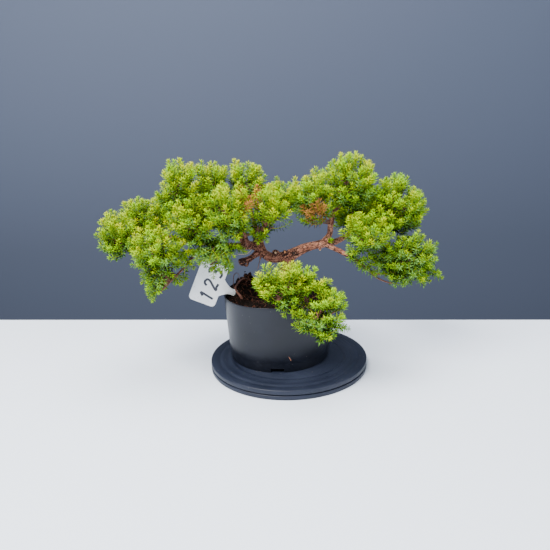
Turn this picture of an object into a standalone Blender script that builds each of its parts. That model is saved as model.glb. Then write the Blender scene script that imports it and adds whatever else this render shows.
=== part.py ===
"""A juniper bonsai in a round plastic training pot, standing on a two-disc turntable.

Metres, +Z up. The origin is the centre of the turntable's flat underside, and +X runs along
the crown's widest reach. The tree is built from limbs (tapered tubes through a few places) and
foliage masses. A mass keeps to an ellipsoid of space. In it a seeded rule grows twigs from one
stem, and each twig ends in a spray of needles, a slim core with tiers of teeth.
"""

import math
import random
from itertools import product

import bmesh
import bpy
import numpy as np
from mathutils import Vector
from mathutils.geometry import interpolate_bezier, intersect_point_line
from mathutils.noise import noise

GAP = 0.0003  # between neighbours that touch

# Turntable
TURNTABLE_RADIUS = 0.110
BASE_DISC_THICKNESS = 0.0058
TOP_DISC_THICKNESS = 0.0065
DISC_GAP = 0.0010
HUB_RADIUS = 0.046
DISC_EDGE_ROUND = 0.0014
RING_RADII = (0.083, 0.091, 0.0985)
DISC_SIDES = 36
RING_DEPTH = 0.0005
RING_HALF_WIDTH = 0.0009
TURNTABLE_TOP = BASE_DISC_THICKNESS + DISC_GAP + TOP_DISC_THICKNESS

# Pot
POT_CENTRE = Vector((-0.012, 0.0096, TURNTABLE_TOP + GAP))
POT_HEIGHT = 0.091
POT_SIDES = 32
POT_WALL = 0.0015
FOOT_RADIUS = 0.0695
FOOT_HEIGHT = 0.0125
FOOT_LEAN = 0.0006  # how far the foot widens over its height
SHOULDER_HEIGHT = 0.0035  # of the round between foot and wall
LIP_HEIGHT = 0.0006
SHOULDER_RADIUS = 0.0713
RIM_RADIUS = 0.0760
RIM_WAVE = 0.0011
RIM_WAVES = ((3, 0.4, 1.0), (5, 2.0, 0.5))  # waves round the rim, where they start, share of RIM_WAVE
FLOOR_UNDERSIDE = 0.0055
FLOOR_TOP = FLOOR_UNDERSIDE + 0.0020
FLOOR_RADIUS = FOOT_RADIUS - POT_WALL - 0.0020
FOOT_WALL = 0.0023
INNER_CORNER_TOP = 0.0130  # where the rounded corner inside meets the wall
WAVE_START = 0.070  # the rim's wave is felt above this
DRAIN_NOTCHES = 4
FIRST_NOTCH = math.radians(-94)
NOTCH_WIDTH = 0.0165
NOTCH_HEIGHT = 0.0040
NOTCH_DEPTH = 0.012
POT_TOP = POT_CENTRE.z + POT_HEIGHT

# Soil
SOIL_SIDES = 24
SOIL_LEVEL = POT_TOP - 0.0030
SOIL_BUMPS = (  # x, y, height and spread of each rise
    (-0.058, 0.046, 0.015, 0.012),
    (-0.060, 0.012, 0.009, 0.014),
    (0.006, 0.012, 0.005, 0.024),
)
SOIL_ROUGHNESS = 0.0016
SOIL_GRAIN = 90  # crumbs and hollows to the metre
SOIL_EDGE = 0.006  # the width over which the surface settles to a level edge
SOIL_RINGS = (0.066, 0.055, 0.043, 0.030, 0.016, 0)  # rings of corners on the surface
CHORD_ROOM = 0.0005  # keeps the soil's corners off the flats of the pot's wall
SEAT_RADIUS = 0.0172  # of the level place that the trunk stands on
SEAT_HEIGHT = 0.020
SEAT_SIDES = 18

# Plant label: a rounded head on a tapered stake
LABEL_CENTRE = Vector((-0.107, -0.004, 0.1235))
LABEL_TURN = math.radians(-23.5)  # the stake's slope down into the soil
LABEL_LENGTH = 0.061
LABEL_WIDTH = 0.038
LABEL_CORNER = 0.0055
LABEL_THICKNESS = 0.0008
SHOULDER_WIDTH = 0.025
SHOULDER_LENGTH = 0.013
STAKE_WIDTH = 0.009
STAKE_LENGTH = 0.046
STAKE_POINT = 0.010

# Trunk
TRUNK_FOOT = Vector((0.006, 0.012, SOIL_LEVEL))
TRUNK_HEAD = Vector((0.004, 0.000, 0.1615))
TRUNK_ROUTE = (  # it starts below the soil, and is cut flat where it comes out
    TRUNK_FOOT - Vector((0.003, 0, 0.012)),
    TRUNK_FOOT,
    (0.0115, 0.010, 0.119),
    (0.003, 0.004, 0.138),
    TRUNK_HEAD,
)
TRUNK_RADII = (0.0098, 0.0068)
TRUNK_STEPS = 3  # stretches of tube between one place and the next
TRUNK_SIDES = 12
ROOT_FLARE = 0.0040
FLARE_HEIGHT = 0.0065
ROOT_LOBES = 4
ROOT_LOBE_DEPTH = 0.13
ROOT_LOBE_START = 0.8

# Limbs: the places that each passes through, then its radius at foot and tip
KNOBS = 0.07  # how far knobs stand out, as a share of the radius
KNOB_TURNS = 9  # radians of the wave of knobs along a limb
KNOB_SHIFT = 0.00025  # this much more radius moves a limb's knobs by one radian
LIMB_STEPS = 2
THICK_LIMB = 0.0035  # a limb with a larger radius than this gets more sides
LIMBS = {
    # from the trunk
    "left_bough": (
        ((0.003, 0, 0.1565), (-0.022, 0.001, 0.1560), (-0.041, 0.003, 0.1710), (-0.058, 0.004, 0.1725)),
        (0.0061, 0.0046),
    ),
    "right_bough": (
        ((0.005, 0, 0.1575), (0.024, 0.001, 0.1665), (0.040, 0, 0.1710), (0.054, -0.001, 0.1740)),
        (0.0061, 0.0045),
    ),
    "front_bough": (
        ((0.004, 0.002, 0.146), (0.007, -0.024, 0.148), (0.010, -0.050, 0.141)),
        (0.0040, 0.0026),
    ),
    # from the left bough
    "back_bough": (
        ((-0.030, 0.002, 0.161), (-0.034, 0.026, 0.180), (-0.022, 0.044, 0.207)),
        (0.0034, 0.0022),
    ),
    "dead_stub": (
        ((-0.036, 0.002, 0.164), (-0.050, -0.003, 0.1555), (-0.064, -0.005, 0.1510)),
        (0.0036, 0.0029),
    ),
    "left_far_bough": (
        ((-0.056, 0.004, 0.1725), (-0.090, -0.002, 0.176), (-0.130, -0.010, 0.185), (-0.165, -0.008, 0.190)),
        (0.0030, 0.0017),
    ),
    "left_top_bough": (
        ((-0.050, 0.004, 0.1725), (-0.068, 0.011, 0.1960), (-0.095, 0.010, 0.2220)),
        (0.0032, 0.0020),
    ),
    "middle_top_bough": (
        ((-0.041, 0.003, 0.1710), (-0.040, 0.012, 0.1950), (-0.048, 0.018, 0.2240)),
        (0.0030, 0.0019),
    ),
    "left_near_bough": (
        ((-0.050, 0.004, 0.1720), (-0.052, -0.014, 0.1830), (-0.054, -0.030, 0.2030)),
        (0.0028, 0.0018),
    ),
    "left_back_bough": (
        ((-0.053, 0.004, 0.1720), (-0.066, 0.026, 0.1820), (-0.086, 0.046, 0.1960)),
        (0.0028, 0.0018),
    ),
    # from the right bough
    "right_top_bough": (
        ((0.051, 0, 0.1730), (0.059, 0.001, 0.1850), (0.061, 0.002, 0.1990), (0.064, 0.003, 0.2150)),
        (0.0036, 0.0026),
    ),
    "right_back_bough": (
        ((0.050, 0, 0.1730), (0.072, 0.018, 0.1720), (0.100, 0.028, 0.1860)),
        (0.0040, 0.0024),
    ),
    "right_low_bough": (
        ((0.050, -0.001, 0.1730), (0.072, -0.009, 0.1635), (0.092, -0.014, 0.1520), (0.116, -0.016, 0.1330)),
        (0.0026, 0.0017),
    ),
}

# Foliage masses: centre and half-sizes of the space, the limb that carries it, how far along
# that limb its stem leaves, and how strongly its sprays turn up (they hang where it is below 0)
MASSES = {
    "left_tip_mass": ((-0.216, -0.006, 0.194), (0.038, 0.036, 0.041), "left_far_bough", 1.0, 0.45),
    "left_shoulder_mass": ((-0.190, 0.026, 0.214), (0.042, 0.038, 0.036), "left_far_bough", 0.9, 0.6),
    "left_low_mass": ((-0.162, -0.040, 0.180), (0.045, 0.037, 0.038), "left_far_bough", 0.75, 0.35),
    "left_hanging_mass": ((-0.162, -0.030, 0.139), (0.036, 0.033, 0.041), "left_far_bough", 0.5, -0.35),
    "left_top_mass": ((-0.138, 0.006, 0.252), (0.038, 0.038, 0.043), "left_top_bough", 1.0, 0.6),
    "left_middle_mass": ((-0.116, -0.028, 0.212), (0.043, 0.038, 0.042), "left_far_bough", 0.35, 0.45),
    "top_left_mass": ((-0.096, 0.020, 0.254), (0.036, 0.038, 0.040), "left_top_bough", 0.8, 0.6),
    "top_middle_mass": ((-0.052, 0.024, 0.252), (0.041, 0.038, 0.040), "middle_top_bough", 1.0, 0.6),
    "near_middle_mass": ((-0.070, -0.036, 0.224), (0.043, 0.038, 0.043), "left_near_bough", 1.0, 0.5),
    "near_right_mass": ((-0.026, -0.024, 0.217), (0.038, 0.037, 0.044), "left_near_bough", 0.7, 0.45),
    "left_under_mass": ((-0.090, -0.034, 0.172), (0.044, 0.034, 0.030), "left_far_bough", 0.12, -0.3),
    "left_back_mass": ((-0.110, 0.066, 0.212), (0.048, 0.037, 0.042), "left_back_bough", 1.0, 0.45),
    "back_mass": ((0.000, 0.046, 0.232), (0.036, 0.036, 0.034), "back_bough", 1.0, 0.5),
    "right_top_near_mass": ((0.040, -0.004, 0.240), (0.040, 0.040, 0.044), "right_top_bough", 0.9, 0.5),
    "right_top_mass": ((0.086, 0.004, 0.252), (0.045, 0.043, 0.044), "right_top_bough", 1.0, 0.6),
    "right_mass": ((0.145, 0.008, 0.216), (0.050, 0.043, 0.051), "right_back_bough", 1.0, 0.45),
    "right_back_mass": ((0.104, 0.064, 0.210), (0.046, 0.037, 0.042), "right_back_bough", 0.8, 0.45),
    "right_near_mass": ((0.102, -0.036, 0.190), (0.040, 0.036, 0.036), "right_low_bough", 0.5, 0.3),
    "right_low_mass": ((0.158, -0.016, 0.153), (0.057, 0.045, 0.046), "right_low_bough", 1.0, 0.2),
    "front_high_mass": ((-0.004, -0.084, 0.141), (0.049, 0.031, 0.035), "front_bough", 1.0, 0.45),
    "front_low_mass": ((0.036, -0.098, 0.105), (0.043, 0.032, 0.046), "front_bough", 0.85, 0.1),
}
SEED = 11
STEM_DROP = 0.30  # how far below the space's middle its stem passes, as a share of the half-height
STEM_REACH = 0.42  # how far past the middle the stem goes, as a share of the half-sizes
STEM_SAG = 0.08
STEM_STEPS = 2
STEM_SIDES = 3
STEM_RADIUS = 0.0022  # at its foot, or a little less than the limb's tip where that is thinner
STEM_TIP_RADIUS = 0.0009
SPRAY_SPACING = 0.0181  # the distance that sprays' tips would keep on an even grid
SPRAY_LENGTH = (0.031, 0.038)
REACHES = (1.0, 0.93, 0.86, 0.79, 0.72, 0.65)  # shares of the space that a spray's tip tries
SHORTENED = (1.0, 0.8)  # shares of its length that it tries at each reach
UPRIGHT_SPRAYS = (1.0, -0.72)  # from where to where sprays grow, as shares of the half-height
DROOPING_SPRAYS = (1.0, -0.97)  # the same where they rise little
HANGING_SPRAYS = (0.45, -0.98)  # the same where they hang
TIERS = ((0.34, 0.0092), (0.67, 0.0066))  # where each tier of teeth stands and how wide
TIER_SETBACK = 0.05
CORE_RADIUS = 0.0024
TWIG_RADII = (0.0013, 0.0010)
SPRAY_SIDES = 3
SPRAY_SAG = 0.10
TWIG_BALLS = (0.35, 0.6, 0.85)  # shares of a twig at which a ball stands for it
SPRAY_BALLS = ((0.1, 0.002), (0.3, 0.006), (0.5, 0.0052), (0.68, 0.0048), (0.85, 0.0025), (1, 0.0005))
SHARPEST_BEND = -0.35  # cosine of the sharpest bend between a twig and its spray
CLEARANCE = 0.0008
OWN_OVERLAP = 0.0012  # how far the balls of one mass's sprays may run into each other
RIM_CLEARANCE = 0.004
GOLDEN_ANGLE = math.radians(137.508)


def clear_scene():
    for old in list(bpy.data.objects):
        bpy.data.objects.remove(old, do_unlink=True)


def principled(name, colour, roughness):
    material = bpy.data.materials.new(name)
    material.use_nodes = True
    shader = material.node_tree.nodes["Principled BSDF"]
    shader.inputs["Base Color"].default_value = (*colour, 1)
    shader.inputs["Roughness"].default_value = roughness
    return material


def add_object(name, mesh_or_bm, material=None, smooth=False):
    """Puts a mesh, or a bmesh that it then frees, into the scene as an object."""
    mesh = mesh_or_bm
    if isinstance(mesh_or_bm, bmesh.types.BMesh):
        mesh = bpy.data.meshes.new(name)
        bmesh.ops.recalc_face_normals(mesh_or_bm, faces=mesh_or_bm.faces)
        mesh_or_bm.to_mesh(mesh)
        mesh_or_bm.free()
    if material:
        mesh.materials.append(material)
    if smooth:
        mesh.shade_smooth()
        mesh.set_sharp_from_angle(angle=math.radians(35))
    obj = bpy.data.objects.new(name, mesh)
    bpy.context.scene.collection.objects.link(obj)
    return obj


def apply_modifiers(obj):
    bpy.context.view_layer.update()
    evaluated = obj.evaluated_get(bpy.context.evaluated_depsgraph_get())
    baked = bpy.data.meshes.new_from_object(evaluated)
    obj.modifiers.clear()
    obj.data = baked


def combine(obj, others, operation, solver="EXACT"):
    """Joins the other objects to this one, or cuts them from it, and removes them."""
    helpers = bpy.data.collections.new("helpers")
    bpy.context.scene.collection.children.link(helpers)
    for other in others:
        bpy.context.scene.collection.objects.unlink(other)
        helpers.objects.link(other)
    boolean = obj.modifiers.new(operation.lower(), "BOOLEAN")
    boolean.operation = operation
    boolean.operand_type = "COLLECTION"
    boolean.collection = helpers
    boolean.solver = solver
    apply_modifiers(obj)
    for other in others:
        bpy.data.objects.remove(other, do_unlink=True)
    bpy.data.collections.remove(helpers)


# ---------------------------------------------------------------- turned pieces


def turned(profile, segments):
    """A full turn of an (r, z) profile whose two ends lie on the axis."""
    bm = bmesh.new()
    line = [bm.verts.new((r, 0, z)) for r, z in profile]
    edges = [bm.edges.new(pair) for pair in zip(line, line[1:])]
    bmesh.ops.spin(
        bm, geom=line + edges, axis=(0, 0, 1), cent=(0, 0, 0),
        angle=math.tau, steps=segments, use_merge=True,
    )
    bmesh.ops.remove_doubles(bm, verts=bm.verts, dist=1e-6)
    return bm


def make_turntable():
    plastic = principled("turntable_plastic", (0.040, 0.044, 0.052), 0.45)
    edge = DISC_EDGE_ROUND
    radius = TURNTABLE_RADIUS
    hub_top = BASE_DISC_THICKNESS + DISC_GAP - GAP
    base_profile = [
        (0, 0),
        (radius - edge, 0),
        (radius, edge),
        (radius, BASE_DISC_THICKNESS - edge / 2),
        (radius - edge / 2, BASE_DISC_THICKNESS),
        (HUB_RADIUS, BASE_DISC_THICKNESS),
        (HUB_RADIUS, hub_top),
        (0, hub_top),
    ]
    add_object("turntable_base", turned(base_profile, DISC_SIDES), plastic, smooth=True)

    low = TURNTABLE_TOP - TOP_DISC_THICKNESS
    top_profile = [(0, low), (radius - edge / 2, low), (radius, low + edge / 2)]
    top_profile += [(radius, TURNTABLE_TOP - edge), (radius - edge, TURNTABLE_TOP)]
    for ring in reversed(RING_RADII):
        top_profile += [
            (ring + RING_HALF_WIDTH, TURNTABLE_TOP),
            (ring, TURNTABLE_TOP - RING_DEPTH),
            (ring - RING_HALF_WIDTH, TURNTABLE_TOP),
        ]
    top_profile.append((0, TURNTABLE_TOP))
    add_object("turntable_top", turned(top_profile, DISC_SIDES), plastic, smooth=True)


def wall_radius(height):
    """The pot's outer radius at a height above its foot."""
    if height <= FOOT_HEIGHT:
        return FOOT_RADIUS + FOOT_LEAN * height / FOOT_HEIGHT
    rise = min(1, (height - FOOT_HEIGHT) / (POT_HEIGHT - FOOT_HEIGHT))
    return SHOULDER_RADIUS + (RIM_RADIUS - SHOULDER_RADIUS) * rise


def rim_wave(angle, height):
    """How far the thin rim is out of level at this angle. It fades out down the wall."""
    fade = max(0, (height - WAVE_START) / (POT_HEIGHT - WAVE_START))
    return RIM_WAVE * fade * sum(share * math.sin(waves * angle + start) for waves, start, share in RIM_WAVES)


def make_pot():
    upper = (WAVE_START, POT_HEIGHT - LIP_HEIGHT)
    outside = [(wall_radius(h), h) for h in (FOOT_HEIGHT, FOOT_HEIGHT + SHOULDER_HEIGHT, *upper)]
    inside = [(wall_radius(h) - POT_WALL, h) for h in (*reversed(upper), INNER_CORNER_TOP)]
    foot_inside = FOOT_RADIUS - FOOT_WALL
    profile = [(0, FLOOR_UNDERSIDE), (foot_inside, FLOOR_UNDERSIDE), (foot_inside, 0), (FOOT_RADIUS, 0)]
    profile += outside + [(RIM_RADIUS - POT_WALL / 2, POT_HEIGHT)] + inside
    profile += [(FLOOR_RADIUS, FLOOR_TOP), (0, FLOOR_TOP)]
    bm = turned(profile, POT_SIDES)
    for vert in bm.verts:
        vert.co.z += rim_wave(math.atan2(vert.co.y, vert.co.x), vert.co.z)
    plastic = principled("pot_plastic", (0.050, 0.054, 0.062), 0.42)
    pot = add_object("pot", bm, plastic, smooth=True)
    pot.location = POT_CENTRE

    for number in range(DRAIN_NOTCHES):
        angle = FIRST_NOTCH + number * math.tau / DRAIN_NOTCHES
        box = bmesh.new()
        bmesh.ops.create_cube(box, size=1)
        bmesh.ops.scale(box, vec=(NOTCH_DEPTH, NOTCH_WIDTH, 2 * NOTCH_HEIGHT), verts=box.verts)
        cutter = add_object("notch_cutter", box)
        cutter.location = POT_CENTRE + FOOT_RADIUS * Vector((math.cos(angle), math.sin(angle), 0))
        cutter.rotation_euler.z = angle
        combine(pot, [cutter], "DIFFERENCE")


def soil_height(x, y):
    """Height of the soil's surface: a clod at the back, a mound at the trunk, and crumbs."""
    reach = Vector((x - POT_CENTRE.x, y - POT_CENTRE.y)).length
    at_edge = min(1, max(0, (RIM_RADIUS - POT_WALL - reach) / SOIL_EDGE))
    rise = SOIL_ROUGHNESS * noise(Vector((x, y, 0)) * SOIL_GRAIN)
    for bump_x, bump_y, height, spread in SOIL_BUMPS:
        away = math.hypot(x - bump_x, y - bump_y) / spread
        rise += height * math.exp(-(away**2))
    return SOIL_LEVEL + rise * at_edge


def make_soil():
    floor = POT_CENTRE.z + FLOOR_TOP + GAP
    inset = POT_WALL + GAP + CHORD_ROOM
    level = SOIL_LEVEL - POT_CENTRE.z
    profile = [(0, floor), (FLOOR_RADIUS - GAP - CHORD_ROOM, floor)]
    profile.append((wall_radius(INNER_CORNER_TOP) - inset, POT_CENTRE.z + INNER_CORNER_TOP + GAP))
    profile.append((wall_radius(level) - inset, SOIL_LEVEL))
    profile += [(radius, SOIL_LEVEL) for radius in SOIL_RINGS]
    bm = turned(profile, SOIL_SIDES)
    bmesh.ops.translate(bm, vec=(POT_CENTRE.x, POT_CENTRE.y, 0), verts=bm.verts)
    for vert in bm.verts:
        if vert.co.z > SOIL_LEVEL - 1e-5:
            vert.co.z = soil_height(vert.co.x, vert.co.y)
    soil = add_object("soil", bm, principled("peat", (0.018, 0.012, 0.009), 0.95))

    seat = bmesh.new()
    bmesh.ops.create_cone(
        seat, cap_ends=True, segments=SEAT_SIDES, radius1=SEAT_RADIUS, radius2=SEAT_RADIUS, depth=SEAT_HEIGHT
    )
    bmesh.ops.translate(seat, vec=TRUNK_FOOT + Vector((0, 0, SEAT_HEIGHT / 2 - GAP)), verts=seat.verts)
    slot = label_solid(GAP)
    combine(soil, [add_object("seat_cutter", seat), add_object("slot_cutter", slot)], "DIFFERENCE")


# ---------------------------------------------------------------- plant label


def label_outline(grow):
    """The label's outline, head centred on the origin, stake towards +X, grown all round."""
    half_width = LABEL_WIDTH / 2 + grow
    half_length = LABEL_LENGTH / 2 + grow
    shoulder = SHOULDER_WIDTH / 2 + grow
    stake = STAKE_WIDTH / 2 + grow
    stake_start = LABEL_WIDTH / 2 + SHOULDER_LENGTH
    stake_end = stake_start + STAKE_LENGTH + grow
    half = [(stake_end, 0), (stake_end - STAKE_POINT, stake), (stake_start, stake), (half_width, shoulder)]
    for corner, first in ((1, 0), (-1, 90)):
        for degrees in (0, 45, 90):
            angle = math.radians(first + degrees)
            half.append((
                corner * (half_width - LABEL_CORNER) + LABEL_CORNER * math.cos(angle),
                half_length - LABEL_CORNER + LABEL_CORNER * math.sin(angle),
            ))
    return half + [(x, -y) for x, y in reversed(half[1:])]


def label_solid(grow):
    """The label as a closed plate in its place, made larger all round by `grow`."""
    bm = bmesh.new()
    half_thickness = LABEL_THICKNESS / 2 + grow
    face = bm.faces.new([bm.verts.new((x, -half_thickness, z)) for x, z in label_outline(grow)])
    grown = bmesh.ops.extrude_face_region(bm, geom=[face])["geom"]
    far_side = [item for item in grown if isinstance(item, bmesh.types.BMVert)]
    bmesh.ops.translate(bm, vec=(0, 2 * half_thickness, 0), verts=far_side)
    bmesh.ops.recalc_face_normals(bm, faces=bm.faces)
    turn = Vector((1, 0, 0)).rotation_difference(Vector((math.cos(LABEL_TURN), 0, math.sin(LABEL_TURN))))
    bmesh.ops.rotate(bm, cent=(0, 0, 0), matrix=turn.to_matrix(), verts=bm.verts)
    bmesh.ops.translate(bm, vec=LABEL_CENTRE, verts=bm.verts)
    return bm


def make_label():
    add_object("plant_label", label_solid(0), principled("label_plastic", (0.78, 0.78, 0.80), 0.4))


# ---------------------------------------------------------------- limbs


def smooth_route(places, steps):
    """A smooth curve through the places, with `steps` stretches between each two."""
    places = [Vector(place) for place in places]
    padded = [2 * places[0] - places[1], *places, 2 * places[-1] - places[-2]]
    route = []
    for before, start, end, after in zip(padded, padded[1:], padded[2:], padded[3:]):
        reach_out = start + (end - before) / 6
        reach_in = end - (after - start) / 6
        route += interpolate_bezier(start, reach_out, reach_in, end, steps + 1)[:-1]
    return route + [places[-1]]


def taper(first, last, count, knobs=0.0):
    """Radii from first to last, with knobs that stand out by this share."""
    radii = []
    for number in range(count):
        share = number / (count - 1)
        knob = 1 + knobs * math.sin(KNOB_TURNS * share + first / KNOB_SHIFT)
        radii.append((first + (last - first) * share) * knob)
    return radii


def ring_turns(route):
    """The rotation of a ring at each place, which turns as little as it can along the route."""
    ends = [route[0], *route, route[-1]]
    headings = [(after - before).normalized() for before, after in zip(ends, ends[2:])]
    turns = [Vector((0, 0, 1)).rotation_difference(headings[0])]
    for before, after in zip(headings, headings[1:]):
        turns.append(before.rotation_difference(after) @ turns[-1])
    return turns


def tube(route, radii, sides, twists=None):
    """A closed tube with a ring of corners at each place. A last radius of 0 is a point.

    Its sides are triangles whose long edge leans with the twist, because the other way round they
    would pass through each other.
    """
    bm = bmesh.new()
    twists = twists or [0] * len(route)
    rings = []
    for place, radius, turn, twist in zip(route, radii, ring_turns(route), twists):
        corners = 1 if radius == 0 else sides
        ring = []
        for corner in range(corners):
            angle = twist + corner * math.tau / sides
            ring.append(bm.verts.new(place + turn @ Vector((math.cos(angle), math.sin(angle), 0)) * radius))
        rings.append(ring)
    for low, high in zip(rings, rings[1:]):
        for corner in range(sides):
            after = (corner + 1) % sides
            bm.faces.new((low[corner], low[after], high[corner % len(high)]))
            if len(high) > 1:
                bm.faces.new((low[after], high[after], high[corner]))
    bm.faces.new(list(reversed(rings[0])))
    if len(rings[-1]) > 1:
        bm.faces.new(rings[-1])
    return bm


def trunk_tube(grow=0.0):
    """The trunk, flared and lobed at the roots, and cut flat where it meets the soil."""
    route = smooth_route(TRUNK_ROUTE, TRUNK_STEPS)
    radii = []
    for place, radius in zip(route, taper(*TRUNK_RADII, len(route), KNOBS)):
        height = place.z - SOIL_LEVEL
        flare = math.exp(-((max(0, height) / FLARE_HEIGHT) ** 2))
        radii.append(radius + ROOT_FLARE * flare + grow)
    bm = tube(route, radii, TRUNK_SIDES)
    for vert in bm.verts:
        height = vert.co.z - SOIL_LEVEL
        out = Vector((vert.co.x - TRUNK_FOOT.x, vert.co.y - TRUNK_FOOT.y, 0))
        lobe = math.cos(ROOT_LOBES * math.atan2(out.y, out.x) + ROOT_LOBE_START)
        vert.co += out * ROOT_LOBE_DEPTH * lobe * math.exp(-max(0, height) / FLARE_HEIGHT)
    bmesh.ops.recalc_face_normals(bm, faces=bm.faces)
    everything = [*bm.verts, *bm.edges, *bm.faces]
    cut = bmesh.ops.bisect_plane(
        bm, geom=everything, plane_co=(0, 0, SOIL_LEVEL), plane_no=(0, 0, 1), clear_inner=True
    )
    rim = [item for item in cut["geom_cut"] if isinstance(item, bmesh.types.BMEdge)]
    bmesh.ops.edgeloop_fill(bm, edges=rim)
    return bm


def limb_tube(name, grow=0.0):
    """A limb's tube. Grown, it is the cutter that keeps later limbs and stems clear of it."""
    if name == "trunk":
        return trunk_tube(grow)
    places, (first, last) = LIMBS[name]
    route = smooth_route(places, LIMB_STEPS)
    radii = [radius + grow for radius in taper(first, last, len(route), KNOBS)]
    if grow:
        route.append(route[-1] + (route[-1] - route[-2]).normalized() * grow)
        radii.append(radii[-1])
    return tube(route, radii, 8 if first > THICK_LIMB else 6)


def make_trunk_and_limbs():
    bark = principled("bark", (0.150, 0.062, 0.040), 0.85)
    add_object("trunk", limb_tube("trunk"), bark)
    made = ["trunk"]
    for name in LIMBS:
        limb = add_object(name, limb_tube(name), bark)
        for other in made:
            combine(limb, [add_object("cutter", limb_tube(other, GAP))], "DIFFERENCE")
        drop_scraps(limb)
        made.append(name)


def drop_scraps(obj):
    """Keeps only the largest of the pieces that a cut left."""
    bm = bmesh.new()
    bm.from_mesh(obj.data)
    waiting = set(bm.verts)
    islands = []
    while waiting:
        front = [waiting.pop()]
        island = set(front)
        while front:
            vert = front.pop()
            for edge in vert.link_edges:
                other = edge.other_vert(vert)
                if other not in island:
                    island.add(other)
                    front.append(other)
        waiting -= island
        islands.append(island)
    largest = max(islands, key=len)
    scraps = [vert for vert in bm.verts if vert not in largest]
    bmesh.ops.delete(bm, geom=scraps, context="VERTS")
    bm.to_mesh(obj.data)
    bm.free()


# ---------------------------------------------------------------- foliage


def share_out(place, name):
    """How far a place is from the middle of a mass's space: 1 is on its surface."""
    centre, half = MASSES[name][:2]
    return Vector([(place[axis] - centre[axis]) / half[axis] for axis in range(3)]).length


def in_own_space(place, name, slack=0.03):
    own = share_out(place, name)
    return own < 1 + slack and all(own < share_out(place, other) for other in MASSES if other != name)


def clear_of_pot_and_label(place, radius):
    out = Vector((place.x - POT_CENTRE.x, place.y - POT_CENTRE.y)).length
    if place.z < POT_TOP + RIM_CLEARANCE and out < RIM_RADIUS + radius + 2 * CLEARANCE:
        return False
    from_label = place - LABEL_CENTRE
    along = from_label.x * math.cos(LABEL_TURN) + from_label.z * math.sin(LABEL_TURN)
    across = from_label.z * math.cos(LABEL_TURN) - from_label.x * math.sin(LABEL_TURN)
    margin = radius + 2 * CLEARANCE
    beside = abs(along) > LABEL_WIDTH / 2 + margin or abs(across) > LABEL_LENGTH / 2 + margin
    return beside or abs(from_label.y) > margin


class Taken:
    """The places that limbs, stems and sprays take up, as balls that a new twig may not touch."""

    def __init__(self):
        self.balls = np.empty((0, 4))
        self.owners = np.empty(0, dtype=object)

    def add(self, places, radii, owner):
        rows = [(*place, radius) for place, radius in zip(places, radii)]
        self.balls = np.vstack([self.balls, rows])
        self.owners = np.append(self.owners, [owner] * len(rows))

    def touches(self, place, radius, owner):
        away = np.linalg.norm(self.balls[:, :3] - np.array(place), axis=1) - self.balls[:, 3] - radius
        away[self.owners == owner] += OWN_OVERLAP + CLEARANCE
        return bool((away < CLEARANCE).any())


def stem_route(name):
    """From inside the limb that carries the mass, through the lower part of its space."""
    centre, half, limb, along, _ = MASSES[name]
    limb_route = smooth_route(LIMBS[limb][0], LIMB_STEPS)
    start = limb_route[round(along * (len(limb_route) - 1))]
    middle = Vector(centre) - Vector((0, 0, STEM_DROP * half[2]))
    way_in = (middle - start).normalized()
    end = middle + Vector([way_in[axis] * half[axis] for axis in range(3)]) * STEM_REACH
    halfway = start.lerp(middle, 0.5) - Vector((0, 0, STEM_SAG * half[2]))
    return smooth_route((start, halfway, middle, end), STEM_STEPS)


def nearest_place(route, place):
    """The place on a route's straight stretches that is nearest to another place."""
    found = []
    for start, end in zip(route, route[1:]):
        nearest, share = intersect_point_line(place, start, end)
        found.append(start if share < 0 else end if share > 1 else nearest)
    return min(found, key=lambda nearest: (nearest - place).length)


def spray_headings(name, rng):
    """Directions out of a mass's middle, spread evenly by the golden angle from the top down."""
    half, rise = MASSES[name][1], MASSES[name][4]
    highest, lowest = UPRIGHT_SPRAYS if rise > 0.25 else DROOPING_SPRAYS if rise > -0.1 else HANGING_SPRAYS
    area = 4 * (half[0] * half[1] + half[1] * half[2] + half[2] * half[0])
    count = round(area / SPRAY_SPACING**2 / 4)
    start_angle = rng.uniform(0, math.tau)
    for number in range(count):
        height = highest - (highest - lowest) * (number + 0.5) / count
        angle = start_angle + number * GOLDEN_ANGLE
        level = math.sqrt(max(0, 1 - height * height))
        yield Vector((level * math.cos(angle), level * math.sin(angle), height))


def spray_shape(start, foot, tip, twist):
    """A twig that ends in a spray: a slim core with tiers of teeth that point forward."""
    sag = Vector((0, 0, -SPRAY_SAG)) * (tip - foot).length
    shares, radii, twists = [0], [TWIG_RADII[1]], [twist]
    for number, (share, width) in enumerate(TIERS):
        tier_twist = twist + number * math.pi / SPRAY_SIDES
        shares += [share, share - TIER_SETBACK]
        radii += [width, CORE_RADIUS]
        twists += [tier_twist, tier_twist]
    shares, radii, twists = shares[:-1], radii[:-1], twists[:-1]
    route = [start] + [foot.lerp(tip, share) + sag * share * (1 - share) for share in (*shares, 1)]
    return route, [TWIG_RADII[0], *radii, 0], [twist, *twists, twist]


def spray_balls(start, foot, tip):
    """The balls that stand for a twig and its spray in tests of what touches."""
    balls = [(start.lerp(foot, share), TWIG_RADII[0]) for share in TWIG_BALLS]
    return balls + [(foot.lerp(tip, share), width) for share, width in SPRAY_BALLS]


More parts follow.
